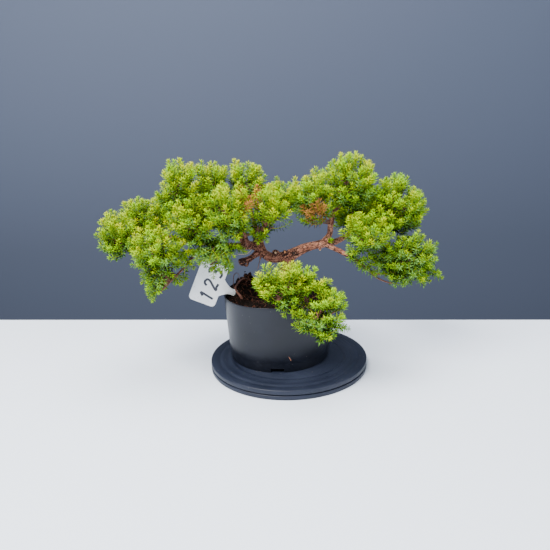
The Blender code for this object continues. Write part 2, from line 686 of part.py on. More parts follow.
def make_mass(name, taken, material):
    rng = random.Random(f"{SEED} {name}")
    centre, half, limb, _, rise = MASSES[name]
    stem = stem_route(name)
    limb_tip_radius = LIMBS[limb][1][1]
    stem_radii = taper(min(STEM_RADIUS, 0.9 * limb_tip_radius), STEM_TIP_RADIUS, len(stem))
    mass = add_object(name, tube(stem, stem_radii, STEM_SIDES), material)
    combine(mass, [add_object("cutter", limb_tube(limb, GAP))], "DIFFERENCE")
    drop_scraps(mass)
    sprays = []
    for out in spray_headings(name, rng):
        heading = Vector([out[axis] / half[axis] for axis in range(3)]).normalized()
        heading = (heading + Vector((0, 0, rise))).normalized()
        full_length = rng.uniform(*SPRAY_LENGTH)
        twist = rng.uniform(0, math.tau)
        for reach, shortened in product(REACHES, SHORTENED):
            tip = Vector([centre[axis] + out[axis] * half[axis] * reach for axis in range(3)])
            foot = tip - heading * full_length * shortened
            start = nearest_place(stem[2:], foot)
            balls = spray_balls(start, foot, tip)
            if (foot - start).normalized().dot(heading) < SHARPEST_BEND:
                continue
            if not all(in_own_space(place, name) for place, _ in balls[len(TWIG_BALLS) :]):
                continue
            if any(taken.touches(place, radius, name) for place, radius in balls):
                continue
            if not all(clear_of_pot_and_label(place, radius) for place, radius in balls):
                continue
            taken.add(*zip(*balls), name)
            route, radii, twists = spray_shape(start, foot, tip, twist)
            sprays.append(add_object("spray", tube(route, radii, SPRAY_SIDES, twists)))
            break
    combine(mass, sprays, "UNION", solver="MANIFOLD")
    drop_scraps(mass)
    return len(sprays)


def densely(route, thick):
    """Places along a route so close together that balls round them leave no gap."""
    places = []
    for start, end in zip(route, route[1:]):
        steps = max(1, math.ceil((end - start).length / thick))
        places += [start.lerp(end, step / steps) for step in range(steps)]
    return places + [route[-1]]


def make_foliage():
    needles = principled("needles", (0.200, 0.320, 0.045), 0.55)
    taken = Taken()
    for places, (thick, _) in LIMBS.values():
        along = densely(smooth_route(places, LIMB_STEPS), thick)
        taken.add(along, [thick] * len(along), "limbs")
    along = densely(smooth_route(TRUNK_ROUTE, TRUNK_STEPS), TRUNK_RADII[0])
    taken.add(along, [TRUNK_RADII[0]] * len(along), "limbs")
    for name in MASSES:
        along = densely(stem_route(name), STEM_RADIUS)
        taken.add(along, [0.8 * STEM_RADIUS] * len(along), name)
    for name in MASSES:
        made = make_mass(name, taken, needles)
        print(f"{name}: {made} sprays")


def main():
    clear_scene()
    make_turntable()
    make_pot()
    make_soil()
    make_label()
    make_trunk_and_limbs()
    make_foliage()


main()
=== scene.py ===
# %% [markdown]
# # A juniper bonsai in a training pot
# The tree stands off-centre in a round plastic pot, on a flat turntable, with a plant label in its peat. The
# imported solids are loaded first. They fix where everything is, and each piece below takes over from one or more
# of them, so nothing is fitted by eye. The box round the solids is kept, to compare at the end.

import math
import random
from itertools import product

import bmesh
import bpy
import numpy as np
from mathutils import Matrix, Vector
from mathutils.geometry import interpolate_bezier, intersect_point_line
from mathutils.kdtree import KDTree
from mathutils.noise import fractal, noise, voronoi


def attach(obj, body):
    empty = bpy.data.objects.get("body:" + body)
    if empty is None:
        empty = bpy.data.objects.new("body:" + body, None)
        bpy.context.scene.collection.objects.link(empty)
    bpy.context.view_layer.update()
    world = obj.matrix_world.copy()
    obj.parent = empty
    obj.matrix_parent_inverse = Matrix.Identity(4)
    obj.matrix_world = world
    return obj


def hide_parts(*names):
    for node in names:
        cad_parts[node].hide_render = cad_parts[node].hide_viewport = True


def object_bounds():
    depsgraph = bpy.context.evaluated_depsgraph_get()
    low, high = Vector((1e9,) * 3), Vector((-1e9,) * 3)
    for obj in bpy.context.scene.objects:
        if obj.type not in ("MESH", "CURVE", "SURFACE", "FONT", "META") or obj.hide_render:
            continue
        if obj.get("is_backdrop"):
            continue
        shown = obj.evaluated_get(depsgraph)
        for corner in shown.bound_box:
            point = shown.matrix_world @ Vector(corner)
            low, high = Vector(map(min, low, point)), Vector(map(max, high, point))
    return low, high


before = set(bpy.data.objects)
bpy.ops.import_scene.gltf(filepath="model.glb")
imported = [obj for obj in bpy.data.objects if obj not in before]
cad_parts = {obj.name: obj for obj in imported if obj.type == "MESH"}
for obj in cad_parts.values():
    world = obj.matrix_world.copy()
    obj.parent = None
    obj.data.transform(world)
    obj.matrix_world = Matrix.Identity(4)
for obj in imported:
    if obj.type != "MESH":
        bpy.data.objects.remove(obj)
solid_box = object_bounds()
print("solids:", len(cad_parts), "box", [tuple(round(v, 4) for v in corner) for corner in solid_box])

# %% [markdown]
# ## Tools
# An object shows only once it is linked to the scene, and a bmesh has to become a mesh first. A shader's socket
# takes either a plain value or another node's output, and `feed` handles both. These few steps come back all the
# time, so each is a small function.

# %% Tools
def add_object(name, data):
    obj = bpy.data.objects.new(name, data)
    bpy.context.scene.collection.objects.link(obj)
    return obj


def mesh_from(bm, name):
    """A bmesh as a mesh. The bmesh is freed."""
    mesh = bpy.data.meshes.new(name)
    bm.to_mesh(mesh)
    bm.free()
    return mesh


def feed(tree, socket, value):
    """Gives an input a value or an output to follow. A tuple is a colour."""
    if isinstance(value, bpy.types.NodeSocket):
        tree.links.new(value, socket)
    else:
        socket.default_value = (*value, 1) if isinstance(value, tuple) else value


def dress(material, **inputs):
    """Feeds a material's shader. Underscores in an input's name stand for spaces."""
    shader = material.node_tree.nodes["Principled BSDF"]
    for socket, value in inputs.items():
        feed(material.node_tree, shader.inputs[socket.replace("_", " ")], value)
    return material


def plain(name, colour, roughness, **more):
    """A material with one colour and one roughness."""
    material = bpy.data.materials.new(name)
    material.use_nodes = True
    return dress(material, Base_Color=colour, Roughness=roughness, **more)

# %% [markdown]
# ## Camera
# A camera looks along its own -Z axis. Tipping it up from straight down by a little under 90 degrees makes it
# look along +Y and slightly down. The second turn is about its own line of sight, for a frame that leans. The
# lens comes from a focal length in pixels, because a sensor 36 mm wide holds the image's width.

# %% Camera
IMAGE_WIDTH, FOCAL_PIXELS, SENSOR_WIDTH_MM = 550, 520, 36
CAMERA_PLACE = Vector((-0.0159, -0.6856, 0.3229))
CAMERA_TIP, CAMERA_LEAN = math.radians(90 - 15.65), math.radians(-1.82)
camera = add_object("camera", bpy.data.cameras.new("camera"))
camera.data.lens = FOCAL_PIXELS / IMAGE_WIDTH * SENSOR_WIDTH_MM
camera.data.sensor_width = SENSOR_WIDTH_MM
camera.data.clip_start = 0.01
turn = Matrix.Rotation(CAMERA_TIP, 4, "X") @ Matrix.Rotation(CAMERA_LEAN, 4, "Z")
camera.matrix_world = Matrix.Translation(CAMERA_PLACE) @ turn
bpy.context.scene.camera = camera
print("lens", round(camera.data.lens, 2), "mm")

# %% [markdown]
# ## Floor and light
# The object stands on a plain pale table that ends a little way behind it. A second plane, upright and further
# back, closes the view with a cool grey. Large area lights give soft shadows: the larger a light is for its
# distance, the softer its shadow's edge. The key is high at the front left, and the fill shines from the right.

# %% Floor and light
TREE_MIDDLE = Vector((0, 0, 0.15))
HALF_SIDE = 3
TABLE_EDGE, TABLE_TURN, WALL_PLACE = Vector((-0.018, 0.174, 0)), math.radians(-5.1), 0.80
SKY, SKY_STRENGTH = (0.72, 0.78, 0.88), 0.36
LIGHTS = (  # name, place, size, watts and colour
    ("key", (-0.8, -0.8, 1.5), 1.1, 86, (1.0, 0.985, 0.955)),
    ("fill", (1.3, -0.8, 0.9), 1.4, 20, (0.93, 0.96, 1.0)),
    ("top", (0.1, 0.2, 1.8), 1.2, 40, (0.97, 0.98, 1.0)),
)


def stage_plane(name, place, tip, turned_by, material):
    """A square plane, tipped up and turned round. The size is half its side, as bmesh has it."""
    bm = bmesh.new()
    bmesh.ops.create_grid(bm, x_segments=1, y_segments=1, size=HALF_SIDE)
    around = Matrix.Rotation(turned_by, 4, "Z") @ Matrix.Rotation(tip, 4, "X")
    bmesh.ops.transform(bm, verts=bm.verts, matrix=Matrix.Translation(place) @ around)
    obj = add_object(name, mesh_from(bm, name))
    obj.data.materials.append(material)
    obj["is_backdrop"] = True


table_middle = TABLE_EDGE - Matrix.Rotation(TABLE_TURN, 3, "Z") @ Vector((0, HALF_SIDE, 0))
stage_plane("table", table_middle, 0, TABLE_TURN, plain("table_white", (0.82, 0.89, 1.0), 0.6))
stage_plane("wall", (0, WALL_PLACE, 0), math.radians(90), 0, plain("wall_grey", (0.049, 0.063, 0.102), 0.8))
for name, place, size, watts, colour in LIGHTS:
    light = bpy.data.lights.new(name, "AREA")
    light.size, light.energy, light.color = size, watts, colour
    aimed = (Vector(place) - TREE_MIDDLE).to_track_quat("Z", "Y").to_matrix().to_4x4()
    add_object(name, light).matrix_world = Matrix.Translation(place) @ aimed
world = bpy.data.worlds.new("studio")
world.use_nodes = True
for socket, value in (("Color", SKY), ("Strength", SKY_STRENGTH)):
    feed(world.node_tree, world.node_tree.nodes["Background"].inputs[socket], value)
bpy.context.scene.world = world

# %% [markdown]
# ## Effects that several materials share
# A node group is built once and placed in many materials, each with its own values. `mottle` blends two colours
# by a soft noise. `grain` turns a fine noise into a bumped normal. `specks` is a mask of small spots, for dust:
# a spot is where the nearest point of a Voronoi pattern is close.

# %% Shader groups
COLOUR, NUMBER, VECTOR = "NodeSocketColor", "NodeSocketFloat", "NodeSocketVector"
MIX_FACTOR, MIX_A, MIX_B, MIX_COLOUR = 0, 6, 7, 2  # where the Mix node keeps its colour sockets


def add_node(tree, kind, inputs=None, **settings):
    made = tree.nodes.new(kind)
    for setting, value in settings.items():
        setattr(made, setting, value)
    for socket, value in (inputs or {}).items():
        feed(tree, made.inputs[socket], value)
    return made


def placed(tree, group, **inputs):
    """A node group placed in a material, as its outputs."""
    return add_node(tree, "ShaderNodeGroup", inputs, node_tree=group).outputs


def new_group(name, inputs, outputs):
    group = bpy.data.node_groups.new(name, "ShaderNodeTree")
    for in_out, sockets in (("INPUT", inputs), ("OUTPUT", outputs)):
        for socket, kind in sockets.items():
            group.interface.new_socket(socket, in_out=in_out, socket_type=kind)
    return group, group.nodes.new("NodeGroupInput").outputs, group.nodes.new("NodeGroupOutput").inputs


def mix_colours(tree, factor, low, high):
    inputs = {MIX_FACTOR: factor, MIX_A: low, MIX_B: high}
    return add_node(tree, "ShaderNodeMix", inputs, data_type="RGBA").outputs[MIX_COLOUR]


def mapped(tree, value, first, last, to=(0, 1)):
    """A value from first to last, spread over another range."""
    limits = {"Value": value, "From Min": first, "From Max": last, "To Min": to[0], "To Max": to[1]}
    return add_node(tree, "ShaderNodeMapRange", limits).outputs["Result"]


inputs = {"Vector": VECTOR, "Scale": NUMBER, "Low": COLOUR, "High": COLOUR}
mottle, given, result = new_group("mottle", inputs, {"Color": COLOUR, "Value": NUMBER})
soft = add_node(mottle, "ShaderNodeTexNoise", {"Vector": given["Vector"], "Scale": given["Scale"], "Detail": 4})
spread = mapped(mottle, soft.outputs["Fac"], 0.35, 0.65)
feed(mottle, result["Color"], mix_colours(mottle, spread, given["Low"], given["High"]))
feed(mottle, result["Value"], spread)

inputs = {"Vector": VECTOR, "Scale": NUMBER, "Strength": NUMBER, "Height": NUMBER}
grain, given, result = new_group("grain", inputs, {"Normal": VECTOR})
fine = add_node(grain, "ShaderNodeTexNoise", {"Vector": given["Vector"], "Scale": given["Scale"], "Detail": 5})
inputs = {"Height": fine.outputs["Fac"], "Strength": given["Strength"], "Distance": given["Height"]}
feed(grain, result["Normal"], add_node(grain, "ShaderNodeBump", inputs).outputs["Normal"])

inputs = {"Vector": VECTOR, "Scale": NUMBER, "Size": NUMBER}
specks, given, result = new_group("specks", inputs, {"Mask": NUMBER})
cells = add_node(specks, "ShaderNodeTexVoronoi", {"Vector": given["Vector"], "Scale": given["Scale"]})
inputs = {0: cells.outputs["Color"], 1: given["Size"]}
size = add_node(specks, "ShaderNodeMath", inputs, operation="MULTIPLY").outputs["Value"]
inputs = {0: cells.outputs["Distance"], 1: size}
feed(specks, result["Mask"], add_node(specks, "ShaderNodeMath", inputs, operation="LESS_THAN").outputs["Value"])
print("groups:", [group.name for group in (mottle, grain, specks)])


def mottled(name, roughness, scale, low, high, specular=0.5, grained=None):
    """A material in two colours, with a fine grain if its scale, strength and height are given."""
    material = plain(name, low, roughness, Specular_IOR_Level=specular)
    tree = material.node_tree
    where = tree.nodes.new("ShaderNodeTexCoord").outputs["Object"]
    clouds = placed(tree, mottle, Vector=where, Scale=scale, Low=low, High=high)
    dress(material, Base_Color=clouds["Color"])
    if grained:
        names = dict(zip(("Scale", "Strength", "Height"), grained))
        dress(material, Normal=placed(tree, grain, Vector=where, **names)["Normal"])
    return material, tree, where, clouds

# %% [markdown]
# ## Dark plastic for pot and turntable
# Both are moulded in a dark blue-grey plastic with a soft sheen. It isn't quite even: handling and watering leave
# duller clouds and pale dust. The clouds vary the roughness, and the dust is a second colour under a mask.

# %% Plastics
DUST = (0.16, 0.15, 0.14)


def moulded_plastic(name, dark, light, roughness, dust):
    material, tree, where, clouds = mottled(name, roughness, 38.0, dark, light, 0.27, (900.0, 0.12, 0.0004))
    spots = placed(tree, specks, Vector=where, Scale=170.0, Size=dust)
    rough = mapped(tree, clouds["Value"], 0, 1, (roughness - 0.03, roughness + 0.07))
    return dress(material, Base_Color=mix_colours(tree, spots["Mask"], clouds["Color"], DUST), Roughness=rough)


pot_plastic = moulded_plastic(
    "pot_plastic_grey", (0.0052, 0.0064, 0.0112), (0.0084, 0.0101, 0.0165), 0.315, 0.08
)
turntable_plastic = moulded_plastic(
    "turntable_plastic_grey", (0.011, 0.0145, 0.028), (0.016, 0.0205, 0.038), 0.42, 0.10
)

# %% [markdown]
# ## Turntable
# Two equal discs turn on each other, with a dark gap between them. Each is one profile, a line of corners from
# the axis outwards and back, that `spin` carries round a full turn. `use_merge` closes the seam. Real moulded
# edges are rounded, so the rims are bevelled. The upper disc has three shallow rings near its edge.
#
# Every finished piece rides on the model's one body, takes the finish of one slot and may stand for some of the
# solids. `add_piece` does all three, so that none is forgotten.

# %% Turntable
DISC_RADIUS, DISC_STEPS = 0.110, 144
LOWER_DISC, UPPER_DISC = (0, 0.0058), (0.0068, 0.0133)
HUB_RADIUS, HUB_TOP = 0.046, 0.0065
RINGS = ((0.0770, 0.0050), (0.0870, 0.0095), (0.0980, 0.0045))  # radius and width
RING_DEPTH, LOWER_BEVEL, UPPER_BEVEL = 0.0008, 0.0012, 0.0015


def add_piece(name, shape, materials, stands_for=(), smooth_under=None):
    """A finished piece from a mesh or bmesh, smooth where faces meet at less than an angle."""
    mesh = mesh_from(shape, name) if isinstance(shape, bmesh.types.BMesh) else shape
    for material in materials:
        mesh.materials.append(material)
    if smooth_under:
        mesh.shade_smooth()
        mesh.set_sharp_from_angle(angle=math.radians(smooth_under))
    obj = add_object(name, mesh)
    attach(obj, "root")
    if stands_for:
        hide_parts(*stands_for)
    print(f"{name}: {sum(len(face.vertices) - 2 for face in mesh.polygons)} triangles")
    return obj


def turned(profile, steps):
    """A full turn of an (r, z) profile whose two ends lie on the axis."""
    bm = bmesh.new()
    line = [bm.verts.new((r, 0, z)) for r, z in profile]
    edges = [bm.edges.new(pair) for pair in zip(line, line[1:])]
    bmesh.ops.spin(
        bm, geom=line + edges, axis=(0, 0, 1), cent=(0, 0, 0), angle=math.tau, steps=steps, use_merge=True
    )
    bmesh.ops.remove_doubles(bm, verts=bm.verts, dist=1e-6)
    bmesh.ops.recalc_face_normals(bm, faces=bm.faces)
    return bm


def round_edges(bm, edges, width, segments):
    bmesh.ops.bevel(
        bm, geom=edges, offset=width, offset_type="OFFSET", segments=segments, profile=0.5, affect="EDGES",
        material=-1,
    )


def round_rings(bm, radius, heights, width, segments=4):
    """Bevels the level circles of edges at one radius and at the given heights."""
    def on_ring(vert):
        near = abs(math.hypot(vert.co.x, vert.co.y) - radius) < 1e-5
        return near and any(abs(vert.co.z - height) < 1e-5 for height in heights)

    def level(edge):
        return abs(edge.verts[0].co.z - edge.verts[1].co.z) < 1e-6

    round_edges(bm, [edge for edge in bm.edges if all(map(on_ring, edge.verts)) and level(edge)], width, segments)


low, high = LOWER_DISC
profile = [(0, low), (DISC_RADIUS, low), (DISC_RADIUS, high), (HUB_RADIUS, high), (HUB_RADIUS, HUB_TOP)]
disc = turned([*profile, (0, HUB_TOP)], DISC_STEPS)
round_rings(disc, DISC_RADIUS, LOWER_DISC, LOWER_BEVEL)
add_piece("lower_disc", disc, [turntable_plastic], ["turntable_base"], smooth_under=40)

low, high = UPPER_DISC
profile = [(0, low), (DISC_RADIUS, low), (DISC_RADIUS, high)]
for ring, width in reversed(RINGS):
    profile += [(ring + width / 2, high), (ring + width / 5, high - RING_DEPTH)]
    profile += [(ring - width / 5, high - RING_DEPTH), (ring - width / 2, high)]
disc = turned([*profile, (0, high)], DISC_STEPS)
round_rings(disc, DISC_RADIUS, UPPER_DISC, UPPER_BEVEL)
add_piece("upper_disc", disc, [turntable_plastic], ["turntable_top"], smooth_under=40)

# %% [markdown]
# ## Pot
# The pot is a thin wall that leans out a little, on a foot that steps in. Its lip isn't quite level, because thin
# plastic bends, so the upper rings of corners are moved up and down in slow waves. Four drain notches are cut from
# the foot with a Boolean, which is made real at once, so that the finished piece has no live modifier.

# %% Pot
POT_MIDDLE, POT_HEIGHT = Vector((-0.012, 0.0096, 0.0136)), 0.091
WALL, FLOOR = 0.0015, (0.0055, 0.0075)
FOOT = foot_radius, foot_height = (0.0695, 0.0125)
WALL_FOOT_RADIUS, LIP_RADIUS = 0.0713, 0.0760
WAVE_START, LIP_WAVE = 0.070, 0.0011
LIP_WAVES = ((3, 0.4, 1.0), (5, 2.0, 0.5))
POT_STEPS, WALL_RINGS, LIP_BEVEL, FOOT_BEVEL = 128, 13, 0.0005, 0.0006
NOTCH, NOTCHES, FIRST_NOTCH = (0.012, 0.0175, 0.0105), 4, math.radians(-94)


def wall_radius(height):
    return WALL_FOOT_RADIUS + (LIP_RADIUS - WALL_FOOT_RADIUS) * (height - FOOT[1]) / (POT_HEIGHT - FOOT[1])


def bake_modifiers(obj):
    bpy.context.view_layer.update()
    baked = bpy.data.meshes.new_from_object(obj.evaluated_get(bpy.context.evaluated_depsgraph_get()))
    obj.modifiers.clear()
    obj.data = baked


def cut(obj, bm):
    """Cuts a closed bmesh from an object."""
    cutter = add_object("cutter", mesh_from(bm, "cutter"))
    modifier = obj.modifiers.new("cut", "BOOLEAN")
    modifier.object, modifier.solver = cutter, "EXACT"
    bake_modifiers(obj)
    bpy.data.objects.remove(cutter, do_unlink=True)


heights = np.linspace(foot_height + 0.0045, POT_HEIGHT, WALL_RINGS)
outside = [(foot_radius, 0), (foot_radius + 0.0004, foot_height - 0.0020), (foot_radius + 0.0009, foot_height)]
outside += [(wall_radius(foot_height) - 0.0004, foot_height + 0.0022)]
outside += [(wall_radius(h), h) for h in heights]
inside = [(wall_radius(h) - WALL, h) for h in reversed(heights)]
profile = [(0, FLOOR[0]), (foot_radius - 0.0023, FLOOR[0]), (foot_radius - 0.0023, 0), *outside, *inside]
profile += [(foot_radius - 0.0035, FLOOR[1]), (0, FLOOR[1])]
shape = turned(profile, POT_STEPS)
for radius, height, width in (
    (LIP_RADIUS, POT_HEIGHT, LIP_BEVEL), (LIP_RADIUS - WALL, POT_HEIGHT, LIP_BEVEL), (foot_radius, 0, FOOT_BEVEL)
):
    round_rings(shape, radius, [height], width, 3)
for vert in shape.verts:
    fade = max(0, (vert.co.z - WAVE_START) / (POT_HEIGHT - WAVE_START))
    angle = math.atan2(vert.co.y, vert.co.x)
    vert.co.z += LIP_WAVE * fade * sum(share * math.sin(count * angle + start) for count, start, share in LIP_WAVES)
bmesh.ops.translate(shape, verts=shape.verts, vec=POT_MIDDLE)
pot = add_piece("pot_shell", shape, [pot_plastic], ["pot"])
for number in range(NOTCHES):
    angle = FIRST_NOTCH + number * math.tau / NOTCHES
    box = bmesh.new()
    bmesh.ops.create_cube(box, size=1)
    bmesh.ops.scale(box, vec=NOTCH, verts=box.verts)
    bmesh.ops.translate(box, vec=(foot_radius, 0, 0), verts=box.verts)
    bmesh.ops.rotate(box, verts=box.verts, cent=(0, 0, 0), matrix=Matrix.Rotation(angle, 3, "Z"))
    bmesh.ops.translate(box, vec=POT_MIDDLE, verts=box.verts)
    cut(pot, box)
pot.data.shade_smooth()
pot.data.set_sharp_from_angle(angle=math.radians(35))
print("lip at", round(POT_MIDDLE.z + POT_HEIGHT, 4), "m")

# %% [markdown]
# ## Peat
# The soil is fibrous peat, nearly black, with red-brown strands, and it stands up in a ragged clod behind the
# label. Its surface is a turned profile with many rings, moved up and down by the same rises as the solid, with
# finer noise on top. Tables of places are easier to read in millimetres, and `metres` turns one into metres.

# %% Peat surface
def metres(table):
    """A nested table of millimetres in metres, exact to a tenth of a millimetre."""
    if isinstance(table, dict):
        return {name: metres(row) for name, row in table.items()}
    if isinstance(table, tuple):
        return tuple(metres(row) for row in table)
    return round(table * 10) / 10000


LIP_TOP = POT_MIDDLE.z + POT_HEIGHT
SOIL_LEVEL = LIP_TOP - 0.0030
# x, y, height and spread of each rise
RISES = metres((
    (-58, 46, 12, 12), (-60, 12, 9, 14), (6, 12, 5, 24), (-51, 45, 6, 9), (-70, 34, 11, 9), (-64, -6, 9, 9),
    (-47, 10, 5, 14),
))
SOIL_EDGE, SOIL_CRUMBLE, SOIL_FINE = 0.006, 0.0016, 0.0019
EDGE_DROP, DROP_WIDTH = 0.0032, 0.014  # the peat has shrunk down along the wall
SURFACE_RINGS, SURFACE_STEPS = 64, 160
POT_GAP = 0.0003
peat = mottled(
    "peat", 0.95, 330.0, (0.0022, 0.0015, 0.0013), (0.012, 0.0066, 0.0050), 0.1, (1500.0, 0.7, 0.001)
)[0]


def off_middle(x, y):
    return math.hypot(x - POT_MIDDLE.x, y - POT_MIDDLE.y)


def soil_height(x, y, fine=1.0):
    room = LIP_RADIUS - WALL - off_middle(x, y)
    rise = SOIL_CRUMBLE * noise(Vector((x, y, 0)) * 90)
    rise += fine * SOIL_FINE * fractal(Vector((x, y, 1)) * 420, 1.0, 2.2, 4)
    for rise_x, rise_y, height, spread in RISES:
        away = math.hypot(x - rise_x, y - rise_y) / spread
        rise += height * math.exp(-(away**2)) * (1 + 0.55 * fine * fractal(Vector((x, y, 2)) * 240, 0.8, 2.1, 3))
    drop = EDGE_DROP * (1 - min(1, max(0, room / DROP_WIDTH))) ** 0.7
    return SOIL_LEVEL - drop + rise * min(1, max(0, room / SOIL_EDGE))


edge_radius = wall_radius(SOIL_LEVEL - POT_MIDDLE.z) - WALL - POT_GAP
floor = POT_MIDDLE.z + (FLOOR[1] + POT_GAP)
profile = [(0, floor), (foot_radius - 0.0038, floor)]
profile += [(wall_radius(0.014) - WALL - POT_GAP, POT_MIDDLE.z + 0.014)]
profile += [(edge_radius * (1 - step / SURFACE_RINGS), SOIL_LEVEL) for step in range(SURFACE_RINGS + 1)]
surface = turned(profile, SURFACE_STEPS)
bmesh.ops.translate(surface, verts=surface.verts, vec=(POT_MIDDLE.x, POT_MIDDLE.y, 0))
for vert in surface.verts:
    if vert.co.z > SOIL_LEVEL - 1e-6:
        vert.co.z = soil_height(vert.co.x, vert.co.y)
add_piece("peat_surface", surface, [peat], ["soil"], smooth_under=60)

# %% [markdown]
# There are hundreds of crumbs, fibres, twigs and needles, so they are built as arrays: the corners of all copies
# are worked out together, and one mesh takes them. `mesh_of` fills a mesh from arrays, which is far quicker than
# adding faces one by one. `tube_arrays` sweeps a few-sided ring along a path and closes both ends.

# %% Makers for many small things
def mesh_of(name, corners, faces, face_materials=None):
    """A mesh from an array of corners and one of faces that all have as many corners."""
    mesh = bpy.data.meshes.new(name)
    count, sides = faces.shape
    mesh.vertices.add(len(corners))
    mesh.vertices.foreach_set("co", corners.astype(np.float32).ravel())
    mesh.loops.add(count * sides)
    mesh.loops.foreach_set("vertex_index", faces.astype(np.int32).ravel())
    mesh.polygons.add(count)
    mesh.polygons.foreach_set("loop_start", np.arange(0, count * sides, sides, dtype=np.int32))
    if face_materials is not None:
        mesh.polygons.foreach_set("material_index", face_materials.astype(np.int32))
    mesh.update(calc_edges=True)
    mesh.validate()
    return mesh


def unit(rows):
    return rows / np.maximum(np.linalg.norm(rows, axis=-1, keepdims=True), 1e-12)


def tube_arrays(path, radii, sides):
    """Corners and triangles of a closed tube along a path, with a radius at each place."""
    path = np.asarray(path, float)
    headings = unit(np.gradient(path, axis=0))
    reference = [0, 1.0, 0] if abs(unit(path[-1] - path[0])[1]) < 0.8 else [1.0, 0, 0]
    across = unit(np.cross(headings, reference))[:, None]
    other = np.cross(headings, across[:, 0])[:, None]
    angles = (np.arange(sides) * math.tau / sides)[None, :, None]
    rings = path[:, None] + np.asarray(radii, float)[:, None, None] * (across * np.cos(angles) + other * np.sin(angles))
    corners = np.vstack([rings.reshape(-1, 3), path[:1], path[-1:]])
    first, last, top = len(corners) - 2, len(corners) - 1, (len(path) - 1) * sides
    here = np.arange(sides)
    after = (here + 1) % sides
    faces = []
    for low in range(0, top, sides):
        high = low + sides
        faces += [np.stack([low + here, high + here, high + after], 1)]
        faces += [np.stack([low + here, high + after, low + after], 1)]
    faces += [np.stack([np.full(sides, first), here, after], 1)]
    faces += [np.stack([np.full(sides, last), top + after, top + here], 1)]
    return corners, np.vstack(faces)


def tapered(path, first, last, sides):
    """A tube whose radius changes evenly from first to last."""
    return tube_arrays(path, np.linspace(first, last, len(path)), sides)


def joined(parts):
    """Many (corners, faces) as one pair of arrays."""
    starts = np.cumsum([0] + [len(corners) for corners, _ in parts])
    faces = [faces + start for (_, faces), start in zip(parts, starts)]
    return np.vstack([corners for corners, _ in parts]), np.vstack(faces)


def add_many(name, parts, material, smooth_under=None):
    add_piece(name, mesh_of(name, *joined(parts)), [material], smooth_under=smooth_under)

# %% [markdown]
# Crumbs are small knocked-about balls, and fibres are thin tubes that wander over the peat. Both lie more thickly on
# the clod at the back left.

# %% Crumbs and fibres
rng = random.Random(5)
CRUMBS, CRUMB_SIZE, CLOD_CRUMBS = 1500, (0.0005, 0.0016), 0.018
FIBRES, FIBRE_RADIUS, FIBRE_STEPS, CLOD_FIBRES = 480, (0.00016, 0.00042), 9, 0.016
FIBRE_LENGTH, FIBRE_LIFT, FIBRE_WANDER = (0.005, 0.018), (0, 0.0042), 0.9
CLOD = Vector((*RISES[0][:2], 0))
peat_fibre = mottled("peat_fibre", 0.85, 240.0, (0.011, 0.005, 0.003), (0.165, 0.058, 0.034), 0.2)[0]


def on_soil(reach, middle=POT_MIDDLE):
    """A place within reach of a middle, evenly at random."""
    distance = reach * math.sqrt(rng.random())
    angle = rng.uniform(0, math.tau)
    return Vector((middle.x + distance * math.cos(angle), middle.y + distance * math.sin(angle), 0))


def strand(place, heading, length, lift, wander):
    """A curved strand that starts on the peat and keeps close over it."""
    path = []
    angle = heading
    x, y = place.x, place.y
    for step in range(FIBRE_STEPS):
        share = step / (FIBRE_STEPS - 1)
        path.append((x, y, soil_height(x, y, 0.4) + lift * math.sin(math.pi * share) + 0.0002))
        angle += rng.uniform(-wander, wander)
        x += math.cos(angle) * length / FIBRE_STEPS
        y += math.sin(angle) * length / FIBRE_STEPS
        if off_middle(x, y) > edge_radius - 0.001:
            break
    return path


lump = bmesh.new()
bmesh.ops.create_icosphere(lump, subdivisions=1, radius=1)
lump_corners = np.array([vert.co[:] for vert in lump.verts])
lump_faces = np.array([[vert.index for vert in face.verts] for face in lump.faces])
lump.free()
crumbs, fibres = [], []
for number in range(CRUMBS):
    place = on_soil(edge_radius * 0.97) if number % 3 else on_soil(CLOD_CRUMBS, CLOD)
    if off_middle(place.x, place.y) > edge_radius - 0.001:
        continue
    size = rng.uniform(*CRUMB_SIZE)
    stretch = np.array([rng.uniform(*limits) for limits in ((0.6, 1.6), (0.6, 1.4), (0.5, 1.1))]) * size
    knocks = np.array([rng.uniform(0.75, 1.25) for _ in lump_corners])
    middle = np.array([place.x, place.y, soil_height(place.x, place.y) + 0.3 * size])
    crumbs.append((lump_corners * knocks[:, None] * stretch + middle, lump_faces))
for number in range(FIBRES):
    place = on_soil(edge_radius * 0.96) if number % 4 else on_soil(CLOD_FIBRES, CLOD)
    if off_middle(place.x, place.y) > edge_radius - 0.002:
        continue
    path = strand(place, rng.uniform(0, math.tau), rng.uniform(*FIBRE_LENGTH), rng.uniform(*FIBRE_LIFT), FIBRE_WANDER)
    if len(path) > 3:
        thick = rng.uniform(*FIBRE_RADIUS)
        fibres.append(tapered(path, thick, thick * 0.4, 4))
add_many("peat_crumbs", crumbs, peat)
add_many("peat_fibres", fibres, peat_fibre, smooth_under=70)

# %% [markdown]
# A few thicker roots loop over the peat at the back left, where the clod stands up. They are the same kind of
# tube, but each follows places of its own, with a smooth curve through them.

# %% Surface roots
def smooth_route(places, steps):
    """A smooth curve through the places, with `steps` stretches between each two."""
    places = [Vector(place) for place in places]
    padded = [2 * places[0] - places[1], *places, 2 * places[-1] - places[-2]]
    route = []
    for before, start, end, after in zip(padded, padded[1:], padded[2:], padded[3:]):
        reach_out, reach_in = start + (end - before) / 6, end - (after - start) / 6
        route += interpolate_bezier(start, reach_out, reach_in, end, steps + 1)[:-1]
    return route + [places[-1]]


